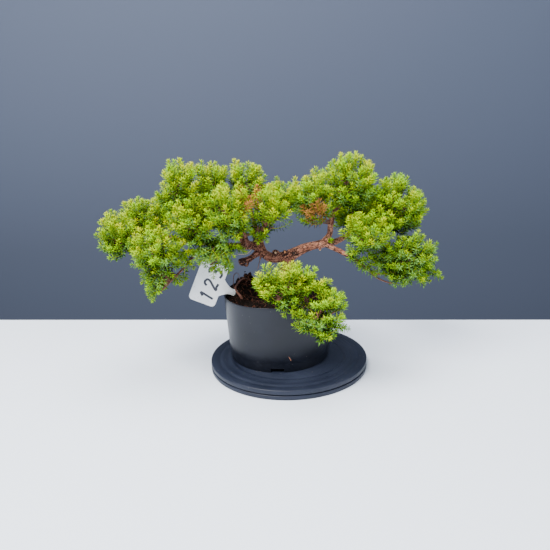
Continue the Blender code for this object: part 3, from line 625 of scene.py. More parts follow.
ROOTS = metres((
    ((-60, -17, 100), (-64, -16, 108), (-68.2, -13, 112.5), (-70.6, -7, 116.5), (-69, 4, 117.5), (-65.5, 18, 119),
     (-62, 28, 118.5), (-57.5, 37, 116.5), (-55.5, 42, 112)),
    ((-76, 20, 103), (-75, 21, 119), (-73.9, 24, 126.2), (-69.7, 26, 128.3), (-67.2, 28, 123.2), (-67.7, 30, 108)),
    ((-40, 40, 104), (-46, 32, 112), (-54, 30, 116), (-62, 30, 108)),
    ((12, 0, 103.5), (16, -12, 104.5), (13, -24, 103), (16, -34, 102)),
))
ROOT_THICK = (0.0017, 0.0005, 0.0006, 0.0008)
root_red = mottled("root_red", 0.7, 260.0, (0.060, 0.022, 0.014), (0.220, 0.085, 0.055))[0]
roots = [tapered(smooth_route(places, 8), thick, thick * 0.6, 8) for places, thick in zip(ROOTS, ROOT_THICK)]
add_many("surface_roots", roots, root_red, smooth_under=60)

# %% [markdown]
# ## Plant label
# The label is cut from white sheet plastic: a head with round corners that narrows to a stake. Its outline is one
# face, pushed out to the sheet's thickness, and its edges get a small bevel. It is a little dull and dirty. The
# number on it is plain and hand-drawn with a marker: each digit is a few strokes.

# %% Plant label
LABEL_MIDDLE, LABEL_TURN = Vector((-0.107, -0.004, 0.1235)), math.radians(-23.5)
LABEL_HEAD, LABEL_CORNER, LABEL_THICK = (0.038, 0.061), 0.0055, 0.0008
SHOULDER_WIDTH, SHOULDER_LENGTH = 0.025, 0.013
STAKE_WIDTH, STAKE_LENGTH, STAKE_POINT = 0.009, 0.046, 0.010
LABEL_MATRIX = Matrix.Translation(LABEL_MIDDLE) @ Matrix.Rotation(-LABEL_TURN, 4, "Y")
LABEL_DIRT, LABEL_BEVEL = (0.20, 0.13, 0.09), 0.00016


def label_outline():
    half_width, half_length = LABEL_HEAD[0] / 2, LABEL_HEAD[1] / 2
    start = half_width + SHOULDER_LENGTH
    end = start + STAKE_LENGTH
    stake, shoulder = STAKE_WIDTH / 2, SHOULDER_WIDTH / 2
    half = [(end, 0), (end - STAKE_POINT, stake), (start, stake)]
    for step in (0.75, 0.5, 0.25):  # the shoulder narrows in a hollow curve
        half.append((half_width + SHOULDER_LENGTH * step, stake + (shoulder - stake) * (1 - step) ** 1.5))
    half.append((half_width, shoulder))
    for corner, first in ((1, 0), (-1, 90)):
        for degrees in range(0, 91, 15):
            angle = math.radians(first + degrees)
            x = corner * (half_width - LABEL_CORNER) + LABEL_CORNER * math.cos(angle)
            half.append((x, half_length - LABEL_CORNER + LABEL_CORNER * math.sin(angle)))
    return half + [(x, -z) for x, z in reversed(half[1:])]


bm = bmesh.new()
face = bm.faces.new([bm.verts.new((x, -LABEL_THICK / 2, z)) for x, z in label_outline()])
grown = bmesh.ops.extrude_face_region(bm, geom=[face])["geom"]
far_side = [item for item in grown if isinstance(item, bmesh.types.BMVert)]
bmesh.ops.translate(bm, verts=far_side, vec=(0, LABEL_THICK, 0))
bmesh.ops.recalc_face_normals(bm, faces=bm.faces)
rims = [edge for edge in bm.edges if abs(edge.verts[0].co.y - edge.verts[1].co.y) < 1e-6]
round_edges(bm, rims, LABEL_BEVEL, 2)
bmesh.ops.transform(bm, matrix=LABEL_MATRIX, verts=bm.verts)
label_white, tree, where, dull = mottled(
    "label_white", 0.38, 70.0, (0.78, 0.79, 0.80), (0.88, 0.89, 0.90), grained=(700.0, 0.08, 0.0003)
)
dirt = placed(tree, specks, Vector=where, Scale=310.0, Size=0.16)
dress(label_white, Base_Color=mix_colours(tree, dirt["Mask"], dull["Color"], LABEL_DIRT))
add_piece("label_plate", bm, [label_white], ["plant_label"], smooth_under=30)

# %% [markdown]
# A marker's stroke is a tube pressed flat on the label, so its ends are round, as a pen's are.

# %% Number on the label
NUMBER_SHOWN, DIGIT_HEIGHT, DIGIT_STEP, DIGIT_SLANT = "123", 0.0185, 0.0180, 0.15
MARKER_WIDTH, INK_THICK = 0.0032, 0.00012
DIGITS = {  # strokes of each digit, in a box 1 wide and 2 high
    "1": [[(0.2, 1.6), (0.6, 2.0), (0.55, 1.0), (0.5, 0.0)]],
    "2": [[(0.0, 1.55), (0.15, 1.9), (0.5, 2.0), (0.9, 1.75), (0.85, 1.3), (0.4, 0.7), (0.0, 0.05), (0.5, 0.12),
           (1.05, 0.0)]],
    "3": [[(0.0, 1.85), (0.5, 2.0), (0.9, 1.65), (0.75, 1.2), (0.35, 1.05)],
          [(0.35, 1.05), (0.9, 0.85), (1.0, 0.4), (0.6, 0.02), (0.0, 0.15)]],
}


def ink_stroke(index, stroke):
    """A stroke of one digit, drawn as a tube and pressed flat on the label."""
    front = LABEL_MIDDLE.y - LABEL_THICK / 2
    places = []
    for across, up in stroke:
        beside = (index - 1) * DIGIT_STEP + (across - 0.5) * DIGIT_HEIGHT / 2
        beside += DIGIT_SLANT * (up - 1) * DIGIT_HEIGHT / 2
        places.append((0.004 - (up - 1) * DIGIT_HEIGHT / 2, -LABEL_THICK / 2, beside))
    route = [LABEL_MATRIX @ place for place in smooth_route(places, 5)]
    corners, faces = tapered(route, MARKER_WIDTH / 2, MARKER_WIDTH / 2, 8)
    corners[:, 1] = front + (corners[:, 1] - front) * INK_THICK / MARKER_WIDTH
    return corners, faces


strokes = [ink_stroke(index, stroke) for index, digit in enumerate(NUMBER_SHOWN) for stroke in DIGITS[digit]]
ink = plain("marker_ink", (0.012, 0.014, 0.030), 0.45)
add_many("label_number", strokes, ink, smooth_under=60)

# %% [markdown]
# ## Trunk and limbs
# Each limb is a smooth curve through a few places, with a radius at its foot and one at its tip, on the same
# routes as in the solids. The tubes here are rounder, swell a little where they leave their parent, and are melted
# into one skin by a voxel remesh. Pruned side shoots leave short collars, which go into the same skin.

# %% Limb routes
TRUNK_FOOT = Vector((0.006, 0.012, SOIL_LEVEL))
TRUNK_ROUTE = (
    TRUNK_FOOT - Vector((0.003, 0, 0.012)), TRUNK_FOOT,
    (0.0115, 0.010, 0.119), (0.003, 0.004, 0.138), (0.004, 0.000, 0.1615),
)
TRUNK_RADII = (0.0098, 0.0068)
ROOT_FLARE, FLARE_HEIGHT = 0.0040, 0.0065
ROOT_LOBES, ROOT_LOBE_DEPTH, ROOT_LOBE_START = 4, 0.13, 0.8
KNOBS, KNOB_TURNS, KNOB_SHIFT = 0.07, 9, 0.00025
LIMBS = metres({  # radius at the foot and at the tip, and the places
    "left_bough": (6.1, 4.6, (3, 0, 156.5), (-22, 1, 156), (-41, 3, 171), (-58, 4, 172.5)),
    "right_bough": (6.1, 4.5, (5, 0, 157.5), (24, 1, 166.5), (40, 0, 171), (54, -1, 174)),
    "front_bough": (4, 2.6, (4, 2, 146), (7, -24, 148), (10, -50, 141)),
    "back_bough": (3.4, 2.2, (-30, 2, 161), (-34, 26, 180), (-22, 44, 207)),
    "dead_stub": (3.6, 2.9, (-36, 2, 164), (-50, -3, 155.5), (-64, -5, 151)),
    "left_far_bough": (3, 1.7, (-56, 4, 172.5), (-90, -2, 176), (-130, -10, 185), (-165, -8, 190)),
    "left_top_bough": (3.2, 2, (-50, 4, 172.5), (-68, 11, 196), (-95, 10, 222)),
    "middle_top_bough": (3, 1.9, (-41, 3, 171), (-40, 12, 195), (-48, 18, 224)),
    "left_near_bough": (2.8, 1.8, (-50, 4, 172), (-52, -14, 183), (-54, -30, 203)),
    "left_back_bough": (2.8, 1.8, (-53, 4, 172), (-66, 26, 182), (-86, 46, 196)),
    "right_top_bough": (3.6, 2.6, (51, 0, 173), (59, 1, 185), (61, 2, 199), (64, 3, 215)),
    "right_back_bough": (4, 2.4, (50, 0, 173), (72, 18, 172), (100, 28, 186)),
    "right_low_bough": (2.6, 1.7, (50, -1, 173), (72, -9, 163.5), (92, -14, 152), (116, -16, 133)),
})
FINE_STEPS, MELT_LOSS = 8, 0.0007  # the melt and its softening take a little off
FORK_SWELL, FORK_REACH = 0.30, 0.007  # a limb's foot is this share thicker, fading over this length
STUBS = metres({  # short side shoots that were cut or died: start, end, radius at both
    "cut_light": (-13.6, 0, 160, -14.3, -9.2, 164.2, 5.2, 4.6),
    "cut_orange": (-1.9, 0, 160, -1.6, -8.4, 164.5, 3.6, 3),
    "knot": (10, 0, 160, 10.6, -8.4, 162.8, 4.2, 3.6),
    "peg": (45, -1, 171.5, 45.6, -6.2, 165.2, 2.1, 1.6),
    "spur": (-50, -3, 155.5, -53, -7, 146.5, 2, 1.4),
    "underside_spur": (-33, 1, 163, -35.2, -4, 154.5, 1.6, 1.2),
    "stub_end": (-48, -3, 155.5, -63.6, -5.2, 152, 3.4, 4.3),
    "stub_lump": (-61, -5, 150, -53.3, -6.5, 146.2, 2.6, 1.4),
    "trunk_spur": (4, 6, 135, -8, 2, 138.5, 2.6, 1.9),
})
print("limbs:", len(LIMBS), "stubs:", len(STUBS))

# %% [markdown]
# A real limb isn't an even cone. It has slight knobs along it, and it is thicker where it leaves its parent, so the
# radii get a slow wave and a swell at the foot. The trunk flares into its roots at the peat.

# %% Limb radii
def taper(first, last, count):
    """Radii from first to last, with knobs that stand out a little."""
    shares = [number / (count - 1) for number in range(count)]
    knobs = [1 + KNOBS * math.sin(KNOB_TURNS * share + first / KNOB_SHIFT) for share in shares]
    return [(first + (last - first) * share) * knob for share, knob in zip(shares, knobs)]


def along_route(route):
    """The distance from the start at each place of a route."""
    distances = [0]
    for before, after in zip(route, route[1:]):
        distances.append(distances[-1] + (after - before).length)
    return distances


route = smooth_route(TRUNK_ROUTE, FINE_STEPS)
radii = []
for place, radius in zip(route, taper(*TRUNK_RADII, len(route))):
    flare = math.exp(-((max(0, place.z - SOIL_LEVEL) / FLARE_HEIGHT) ** 2))
    radii.append(radius + MELT_LOSS + ROOT_FLARE * flare)
limbs = {"trunk": (route, radii)}  # the route and radii of the trunk, every limb and every stub
for name, (first, last, *places) in LIMBS.items():
    route = smooth_route(places, FINE_STEPS)
    swell = [1 + FORK_SWELL * math.exp(-((reach / FORK_REACH) ** 2)) for reach in along_route(route)]
    radii = [radius * more + MELT_LOSS for radius, more in zip(taper(first, last, len(route)), swell)]
    limbs[name] = (route, radii)
for name, (*ends, first, last) in STUBS.items():
    route = [Vector(ends[:3]).lerp(Vector(ends[3:]), share) for share in (0, 0.3, 0.6, 0.8, 1)]
    limbs[name] = (route, [first * 1.15, first, last, last * 1.06, last])
print("tubes:", len(limbs))

# %% [markdown]
# The tubes are melted into one skin, so that the forks have no seams. A voxel remesh does it: the finer the voxels,
# the more bark they can hold. The trunk's foot gets lobes first, where its roots spread.

# %% One skin
VOXEL = 0.00060


def bark_mesh(parts):
    tubes = []
    for name, (route, radii) in parts.items():
        corners, faces = tube_arrays(route, radii, 20)
        if name == "trunk":
            out = corners[:, :2] - np.array(TRUNK_FOOT[:2])
            lobe = np.cos(ROOT_LOBES * np.arctan2(out[:, 1], out[:, 0]) + ROOT_LOBE_START)
            fade = np.exp(-np.maximum(0, corners[:, 2] - SOIL_LEVEL) / FLARE_HEIGHT)
            corners[:, :2] += out * (ROOT_LOBE_DEPTH * lobe * fade)[:, None]
        tubes.append((corners, faces))
    skin = add_object("skin", mesh_of("skin", *joined(tubes)))
    melt = skin.modifiers.new("melt", "REMESH")
    melt.mode, melt.voxel_size, melt.use_smooth_shade = "VOXEL", VOXEL, True
    soften = skin.modifiers.new("soften", "SMOOTH")
    soften.iterations, soften.factor = 2, 0.5
    bake_modifiers(skin)
    mesh = skin.data
    bpy.data.objects.remove(skin, do_unlink=True)
    return mesh


bark_skin = bark_mesh(limbs)
print("skin corners:", len(bark_skin.vertices))

# %% [markdown]
# The skin is knocked into bark. Each corner looks up the nearest place on the limbs' middle lines. Its own offset
# from that line and a part of the distance along it make a place for the noise, so the pattern is stretched
# lengthwise and bark comes off in strips. Deep cracks between the strips, and how far each strip stands out, are
# kept as attributes, because the material darkens the one and lightens the other.

# %% Bark relief
LENGTHWISE, LINE_STEPS = 0.38, 6
STRIPS = 430  # strips to the metre, round a limb
RELIEF, THIN_LIMB_RELIEF = 0.00070, 0.15  # relief never passes this share of the limb's radius
# old cuts have darkened and roughened the bark round them: place and reach
DARK_PLACES = metres(
    ((10.6, -7.8, 162.2, 7), (-1.6, -8, 164, 6.5), (-14.3, -8.8, 163.8, 5.5), (-60, -5, 152, 19))
)

line_rows = []  # place, heading, distance along the limb and the limb's radius there
for route, radii in limbs.values():
    distances = along_route(route)
    for index, (start, end) in enumerate(zip(route, route[1:])):
        for step in range(LINE_STEPS):
            share = step / LINE_STEPS
            distance = distances[index] + share * (distances[index + 1] - distances[index])
            line_rows.append((start.lerp(end, share), (end - start).normalized(), distance, radii[index]))
middle_line = KDTree(len(line_rows))
for number, row in enumerate(line_rows):
    middle_line.insert(row[0], number)
middle_line.balance()

cracks, lifts, moved = [], [], []
for vert in bark_skin.vertices:
    _, number, _ = middle_line.find(vert.co)
    place, heading, distance, radius = line_rows[number]
    offset = vert.co - place
    offset -= heading * (offset.dot(heading) * (1 - LENGTHWISE))
    where = (offset + heading * distance * LENGTHWISE) * STRIPS
    where += Vector((noise(where * 0.6), noise(where * 0.6 + Vector((9, 0, 0))), 0)) * 0.7
    near, corners = voronoi(where)
    crack = min(1, (near[1] - near[0]) * 2.6)
    lift = 0.5 + 0.5 * noise(corners[0] * 3.1)
    old = max(math.exp(-(((vert.co - Vector(dark)).length / reach) ** 2)) for *dark, reach in DARK_PLACES)
    height = 0.75 * crack * (0.35 + lift) + 0.55 * noise(where * 0.22) + 0.25 * noise(where * 2.7) - 0.45
    height += 1.3 * old * noise(where * 1.3)
    moved.append(vert.co + vert.normal * height * min(RELIEF, THIN_LIMB_RELIEF * radius))
    cracks.append(min(1, 1 - crack + old * (0.55 + 0.4 * noise(where * 0.9))))
    lifts.append(lift)
bark_skin.vertices.foreach_set("co", np.array(moved, np.float32).ravel())
for name, values in (("crack", cracks), ("lift", lifts)):
    bark_skin.attributes.new(name, "FLOAT", "POINT").data.foreach_set("value", np.array(values, np.float32))
print("deepest cracks:", sum(crack > 0.95 for crack in cracks))

# %% [markdown]
# The bark is red-brown in two shades. Flakes that stand out are paler, the right of the tree is fresher, the left
# is older and darker, and the cracks are nearly black.

# %% Bark colours
FLAKE_COLOUR, OLD_BARK, CRACK_COLOUR = (0.60, 0.285, 0.185), (0.125, 0.044, 0.027), (0.020, 0.008, 0.006)
bark, tree, where, reds = mottled(
    "bark_red_brown", 0.85, 150.0, (0.21, 0.068, 0.039), (0.57, 0.25, 0.162), 0.2, (1900.0, 0.35, 0.0004)
)
crack = add_node(tree, "ShaderNodeAttribute", attribute_name="crack").outputs["Fac"]
lift = add_node(tree, "ShaderNodeAttribute", attribute_name="lift").outputs["Fac"]
across_tree = add_node(tree, "ShaderNodeSeparateXYZ", {"Vector": where}).outputs["X"]
flaky = mix_colours(tree, mapped(tree, lift, 0.40, 0.85), reds["Color"], FLAKE_COLOUR)
flaky = mix_colours(tree, mapped(tree, across_tree, 0.022, -0.018, (0, 0.62)), flaky, OLD_BARK)
dress(bark, Base_Color=mix_colours(tree, mapped(tree, crack, 0.45, 0.95), flaky, CRACK_COLOUR))
limb_nodes = [name for name in limbs if name not in STUBS]
add_piece("bark_skin", bark_skin, [bark], limb_nodes, smooth_under=70)

# %% [markdown]
# The cut ends show bare wood inside a ring of bark: pale where the cut is fresh, orange where it is older, and
# nearly black where the knot has rotted. Each is a flat, slightly domed disc that sits on the end of its collar.

# %% Cut ends
FRESH, OLDER, ROTTED = 0, 1, 2  # which of the three woods an end shows
DISC_DEPTH, DISC_LIFT = 0.0007, 0.00018
CUT_ENDS = {  # the disc's radius as a share of the stub's, and the wood
    "cut_light": (0.36, FRESH), "cut_orange": (0.50, OLDER), "knot": (0.60, ROTTED),
    "peg": (0.70, FRESH), "spur": (0.75, ROTTED), "trunk_spur": (0.70, OLDER),
}
woods = [
    mottled("cut_wood", 0.7, 700.0, (0.34, 0.19, 0.10), (0.58, 0.40, 0.25))[0],
    plain("cut_wood_orange", (0.42, 0.17, 0.05), 0.7),
    plain("cut_wood_dark", (0.030, 0.014, 0.010), 0.9),
]
discs = bmesh.new()
for name, (share, wood) in CUT_ENDS.items():
    start, end, radius = Vector(STUBS[name][:3]), Vector(STUBS[name][3:6]), STUBS[name][7]
    heading = (end - start).normalized()
    matrix = Matrix.Translation(end + heading * DISC_LIFT) @ heading.to_track_quat("Z", "Y").to_matrix().to_4x4()
    before = set(discs.faces)
    bmesh.ops.create_cone(
        discs, cap_ends=True, segments=14, radius1=radius * share, radius2=radius * share * 0.8,
        depth=DISC_DEPTH, matrix=matrix,
    )
    for face in set(discs.faces) - before:
        face.material_index = wood
add_piece("cut_ends", discs, woods, smooth_under=50)

# %% [markdown]
# ## Foliage
# The crown is 21 masses of foliage. Each keeps to an ellipsoid of space round its own middle. A seeded rule grows
# it: a stem leaves a limb and passes under the middle of the space, and twigs leave the stem and end in sprays
# that point outwards. A spray that would leave its space or touch anything is skipped. The rule and its seed are
# the same as for the solids, so every spray here grows where a solid one stands.

# %% The spaces of the masses
MASS_TABLE = {  # middle and half-sizes of the space, the limb, how far along it, how strongly sprays turn up
    "left_tip": (-216, -6, 194, 38, 36, 41, "left_far", 1.0, 0.45),
    "left_shoulder": (-190, 26, 214, 42, 38, 36, "left_far", 0.9, 0.6),
    "left_low": (-162, -40, 180, 45, 37, 38, "left_far", 0.75, 0.35),
    "left_hanging": (-162, -30, 139, 36, 33, 41, "left_far", 0.5, -0.35),
    "left_top": (-138, 6, 252, 38, 38, 43, "left_top", 1.0, 0.6),
    "left_middle": (-116, -28, 212, 43, 38, 42, "left_far", 0.35, 0.45),
    "top_left": (-96, 20, 254, 36, 38, 40, "left_top", 0.8, 0.6),
    "top_middle": (-52, 24, 252, 41, 38, 40, "middle_top", 1.0, 0.6),
    "near_middle": (-70, -36, 224, 43, 38, 43, "left_near", 1.0, 0.5),
    "near_right": (-26, -24, 217, 38, 37, 44, "left_near", 0.7, 0.45),
    "left_under": (-90, -34, 172, 44, 34, 30, "left_far", 0.12, -0.3),
    "left_back": (-110, 66, 212, 48, 37, 42, "left_back", 1.0, 0.45),
    "back": (0, 46, 232, 36, 36, 34, "back", 1.0, 0.5),
    "right_top_near": (40, -4, 240, 40, 40, 44, "right_top", 0.9, 0.5),
    "right_top": (86, 4, 252, 45, 43, 44, "right_top", 1.0, 0.6),
    "right": (145, 8, 216, 50, 43, 51, "right_back", 1.0, 0.45),
    "right_back": (104, 64, 210, 46, 37, 42, "right_back", 0.8, 0.45),
    "right_near": (102, -36, 190, 40, 36, 36, "right_low", 0.5, 0.3),
    "right_low": (158, -16, 153, 57, 45, 46, "right_low", 1.0, 0.2),
    "front_high": (-4, -84, 141, 49, 31, 35, "front", 1.0, 0.45),
    "front_low": (36, -98, 105, 43, 32, 46, "front", 0.85, 0.1),
}
MASSES = {
    f"{short}_mass": (metres(row[:3]), metres(row[3:6]), f"{row[6]}_bough", *row[7:])
    for short, row in MASS_TABLE.items()
}
GROUP_TABLE = {
    "far_left": "left_tip left_shoulder left_low left_hanging",
    "upper_left": "left_top left_middle top_left top_middle",
    "near_left": "near_middle near_right left_under",
    "back": "left_back back",
    "upper_right": "right_top_near right_top",
    "far_right": "right right_near right_low",
    "back_right": "right_back",
    "front": "front_high front_low",
}
GROUPS = {group: [f"{short}_mass" for short in names.split()] for group, names in GROUP_TABLE.items()}
print("masses:", len(MASSES), "groups:", len(GROUPS))

# %% [markdown]
# A mass hangs on a stem. The stem starts in a limb, sags a little, passes under the middle of the space and ends
# inside it. The sprays' directions are spread by the golden angle, as seeds are in a sunflower, because that leaves
# no gap and no row.

# %% Stems and directions
STEM_DROP, STEM_REACH, STEM_SAG, STEM_STEPS = 0.30, 0.42, 0.08, 2
LIMB_STEPS = 2
UPRIGHT_SPRAYS, DROOPING_SPRAYS, HANGING_SPRAYS = (1.0, -0.72), (1.0, -0.97), (0.45, -0.98)
GOLDEN_ANGLE = math.radians(137.508)


def stem_route(name):
    """From inside the limb that carries the mass, through the lower part of its space."""
    centre, half, limb, along, _ = MASSES[name]
    limb_route = smooth_route(LIMBS[limb][2:], LIMB_STEPS)
    start = limb_route[round(along * (len(limb_route) - 1))]
    middle = Vector(centre) - Vector((0, 0, STEM_DROP * half[2]))
    way_in = (middle - start).normalized()
    end = middle + Vector([way_in[axis] * half[axis] for axis in range(3)]) * STEM_REACH
    halfway = start.lerp(middle, 0.5) - Vector((0, 0, STEM_SAG * half[2]))
    return smooth_route((start, halfway, middle, end), STEM_STEPS)


def nearest_place(route, place):
    """The place on a route's straight stretches that is nearest to another place."""
    found = []
    for start, end in zip(route, route[1:]):
        nearest, share = intersect_point_line(place, start, end)
        found.append(start if share < 0 else end if share > 1 else nearest)
    return min(found, key=lambda nearest: (nearest - place).length)


def spray_headings(name, rng, spacing):
    """Directions out of a mass's middle, spread evenly by the golden angle from the top down."""
    half, rise = MASSES[name][1], MASSES[name][4]
    highest, lowest = UPRIGHT_SPRAYS if rise > 0.25 else DROOPING_SPRAYS if rise > -0.1 else HANGING_SPRAYS
    area = 4 * (half[0] * half[1] + half[1] * half[2] + half[2] * half[0])
    count = round(area / spacing**2 / 4)
    start_angle = rng.uniform(0, math.tau)
    for number in range(count):
        height = highest - (highest - lowest) * (number + 0.5) / count
        angle = start_angle + number * GOLDEN_ANGLE
        level = math.sqrt(max(0, 1 - height * height))
        yield Vector((level * math.cos(angle), level * math.sin(angle), height))


print("the back mass's stem starts at", [round(value, 3) for value in stem_route("back_mass")[0]])

# %% [markdown]
# A spray may not leave its own space, nor come into the pot or the label, nor touch what is already there. Limbs,
# stems and sprays stand in that test as balls, because the distance between balls is quick to work out.

# %% What a spray may not touch
CLEARANCE, OWN_OVERLAP, RIM_CLEARANCE = 0.0008, 0.0012, 0.004
TRUNK_STEPS = 3


def share_out(place, name):
    """How far a place is from the middle of a mass's space: 1 is on its surface."""
    centre, half = MASSES[name][:2]
    return Vector([(place[axis] - centre[axis]) / half[axis] for axis in range(3)]).length


def in_own_space(place, name, slack=0.03):
    own = share_out(place, name)
    return own < 1 + slack and all(own < share_out(place, other) for other in MASSES if other != name)


def clear_of_pot_and_label(place, radius):
    margin = radius + 2 * CLEARANCE
    out = Vector((place.x - POT_MIDDLE.x, place.y - POT_MIDDLE.y)).length
    if place.z < LIP_TOP + RIM_CLEARANCE and out < LIP_RADIUS + margin:
        return False
    away = place - LABEL_MIDDLE
    along = away.x * math.cos(LABEL_TURN) + away.z * math.sin(LABEL_TURN)
    across = away.z * math.cos(LABEL_TURN) - away.x * math.sin(LABEL_TURN)
    beside = abs(along) > LABEL_HEAD[0] / 2 + margin or abs(across) > LABEL_HEAD[1] / 2 + margin
    return beside or abs(away.y) > margin


class Taken:
    """The places that limbs, stems and sprays take up, as balls that a new twig may not touch."""

    def __init__(self):
        self.balls = np.empty((0, 4))
        self.owners = np.empty(0, dtype=object)

    def add(self, places, radii, owner):
        rows = [(*place, radius) for place, radius in zip(places, radii)]
        self.balls = np.vstack([self.balls, rows])
        self.owners = np.append(self.owners, [owner] * len(rows))

    def touches(self, place, radius, owner):
        away = np.linalg.norm(self.balls[:, :3] - np.array(place), axis=1) - self.balls[:, 3] - radius
        away[self.owners == owner] += OWN_OVERLAP + CLEARANCE
        return bool((away < CLEARANCE).any())

    def add_route(self, route, thick, radius, owner):
        """Balls along a route, so close together that they leave no gap."""
        places = []
        for start, end in zip(route, route[1:]):
            steps = max(1, math.ceil((end - start).length / thick))
            places += [start.lerp(end, step / steps) for step in range(steps)]
        self.add([*places, route[-1]], [radius] * (len(places) + 1), owner)


def limbs_taken():
    taken = Taken()
    for thick, _, *places in LIMBS.values():
        taken.add_route(smooth_route(places, LIMB_STEPS), thick, thick, "limbs")
    taken.add_route(smooth_route(TRUNK_ROUTE, TRUNK_STEPS), TRUNK_RADII[0], TRUNK_RADII[0], "limbs")
    return taken


print("balls along the limbs:", len(limbs_taken().balls))

# %% [markdown]
# Each direction is tried at several reaches, and with a shorter spray, until one fits.

# %% Sprays
SEED, SPRAY_SPACING, SPRAY_LENGTH = 11, 0.0181, (0.031, 0.038)
REACHES, SHORTENED = (1.0, 0.93, 0.86, 0.79, 0.72, 0.65), (1.0, 0.8)
STEM_RADIUS, STEM_TIP_RADIUS = 0.0022, 0.0009
TWIG_RADIUS, TWIG_BALLS = 0.0013, (0.35, 0.6, 0.85)
SPRAY_BALLS = ((0.1, 0.002), (0.3, 0.006), (0.5, 0.0052), (0.68, 0.0048), (0.85, 0.0025), (1, 0.0005))
SHARPEST_BEND = -0.35


def balls_of(start, foot, tip, along):
    """The balls that stand for a twig and its spray in tests of what touches."""
    balls = [(start.lerp(foot, share), TWIG_RADIUS) for share in TWIG_BALLS]
    return balls + [(foot.lerp(tip, share), width) for share, width in along]


def grow_sprays(name, rng, spacing, taken, along=SPRAY_BALLS):
    """The sprays of one mass as (start of the twig, foot of the spray, tip)."""
    centre, half, _, _, rise = MASSES[name]
    stem = stem_route(name)
    made = []
    for out in spray_headings(name, rng, spacing):
        heading = Vector([out[axis] / half[axis] for axis in range(3)]).normalized()
        heading = (heading + Vector((0, 0, rise))).normalized()
        full_length = rng.uniform(*SPRAY_LENGTH)
        rng.uniform(0, math.tau)  # the solids' rule draws a turn here
        for reach, shortened in product(REACHES, SHORTENED):
            tip = Vector([centre[axis] + out[axis] * half[axis] * reach for axis in range(3)])
            foot = tip - heading * full_length * shortened
            start = nearest_place(stem[2:], foot)
            balls = balls_of(start, foot, tip, along)
            if (
                (foot - start).normalized().dot(heading) >= SHARPEST_BEND
                and all(in_own_space(place, name) for place, _ in balls[len(TWIG_BALLS) :])
                and not any(taken.touches(place, radius, name) for place, radius in balls)
                and all(clear_of_pot_and_label(place, radius) for place, radius in balls)
            ):
                taken.add(*zip(*balls), name)
                made.append((start, foot, tip))
                break
    return made


taken = limbs_taken()
for name in MASSES:
    taken.add_route(stem_route(name), STEM_RADIUS, 0.8 * STEM_RADIUS, name)
sprays = {name: grow_sprays(name, random.Random(f"{SEED} {name}"), SPRAY_SPACING, taken) for name in MASSES}
print("sprays:", {name: len(found) for name, found in sprays.items()})

# %% [markdown]
# The solids have a few large sprays. The living crown has more, so the same rule runs again on a closer grid, with
# slimmer balls, and fills the room between the first ones.

# %% Finer sprays between
FINE_SPACING = 0.0110
FINE_BALLS = [(share, 0.0034) for share in (0.25, 0.45, 0.65, 0.85, 1)]

room = limbs_taken()
for found in sprays.values():
    for start, foot, tip in found:
        room.add([foot.lerp(tip, share) for share, _ in FINE_BALLS], [width for _, width in FINE_BALLS], "first")
fine_sprays = {
    name: grow_sprays(name, random.Random(f"fine {SEED} {name}"), FINE_SPACING, room, FINE_BALLS) for name in MASSES
}
print("finer sprays:", sum(len(found) for found in fine_sprays.values()))

# %% [markdown]
# A spray branches into shoots. The leading shoot runs to its tip. Side shoots leave it at wide angles and soon turn
# up beside it, so a spray is a tuft of nearly upright plumes. Shoots also leave the stems, and a few sprays of
# their own fill the places where the crown reaches further round a limb. A shoot is a path that carries needles
# from some way along it to its end. It is skipped where its tip comes too close to another, or out of the space,
# or into one of the openings where light shows through the crown.

# %% Openings and extra sprays
SHOOT_STEPS = 6
TIP_ROOM, STACKED = 0.0066, 0.52  # one tip above another keeps twice the distance of one beside another
FAN_SPREAD, SIDE_ANGLE = math.radians(50), math.radians(42)
SIDE_SHOOTS, SIDE_SHARES = (7, 9), (0.02, 0.56)
SHORTEST_SHOOT, STEM_SHOOT_STEP, SHOOT_WIDTH = 0.009, 0.0065, 0.0035
LEADING_BARE, SIDE_BARE, STEM_BARE = 0.05, 0.08, 0.12  # the share of a shoot that has no needles
STEM_SHOOT_LENGTH = (0.014, 0.024)
TIP_LIMIT, STEM_LIMIT, EXTRA_LIMIT = 0.87, 1.9, 2.2  # how far out a tip may be, as a share of the space
LAST_NEEDLES = 0.0047  # how far needles stand out beyond the end of a shoot
OPENINGS = metres({  # middle and radius of each ball
    "over the left shoulder": ((-228, 10, 241, 13), (-206, 20, 250, 13), (-182, 24, 252, 15)),
    "left of the top": ((-172, 6, 268, 13), (-169, 6, 286, 11)),
    "between the left tops": ((-92, 12, 294, 14), (-50, 24, 298, 16)),
    "saddle": ((-15, 30, 272, 14), (8, 38, 266, 16), (-23, 24, 257, 8), (21, 0, 277, 15), (45, 0, 292, 14)),
    "over the right shoulder": ((132, 4, 273, 13), (183, 8, 255, 14), (199, 8, 232, 11)),
    "right end": ((204, 0, 184, 15), (216, -12, 160, 19), (216, -14, 140, 16), (219, -16, 122, 10)),
    "under the right": ((148, -16, 105, 11), (167, -16, 99, 12)),
    "window over the bough": (
        (27, -4, 190, 14), (44, -4, 189, 14), (75, -8, 194, 12), (-7.6, -30, 200, 13), (-7, -30, 190, 12),
    ),
    "beside the hanging shoots": (
        (-196, -30, 122, 10), (-164, -30, 105, 16), (-149, -30, 113, 16), (-149, -32, 130, 12),
    ),
    "over the dead stub": ((-60, -30, 158, 12),),
    "left of the front bough": ((-60, -84, 146, 15), (-46, -90, 126, 15), (-33, -90, 112, 13)),
    "under the front bough": ((-4, -98, 88, 10), (18, -98, 71, 13)),
    "right of the front bough": ((85, -98, 98, 13), (71, -98, 72, 10)),
    "in the right": ((98.4, 10, 213.7, 6),),
    "under the front tip": ((40, -102, 58, 14), (29, -104, 66, 11), (4, -98, 86, 8)),
    "beside the dead patch": ((-7, -12, 198, 13), (36, -8, 201, 12)),
    "in the front bough": ((42, -88, 162, 10),),
})
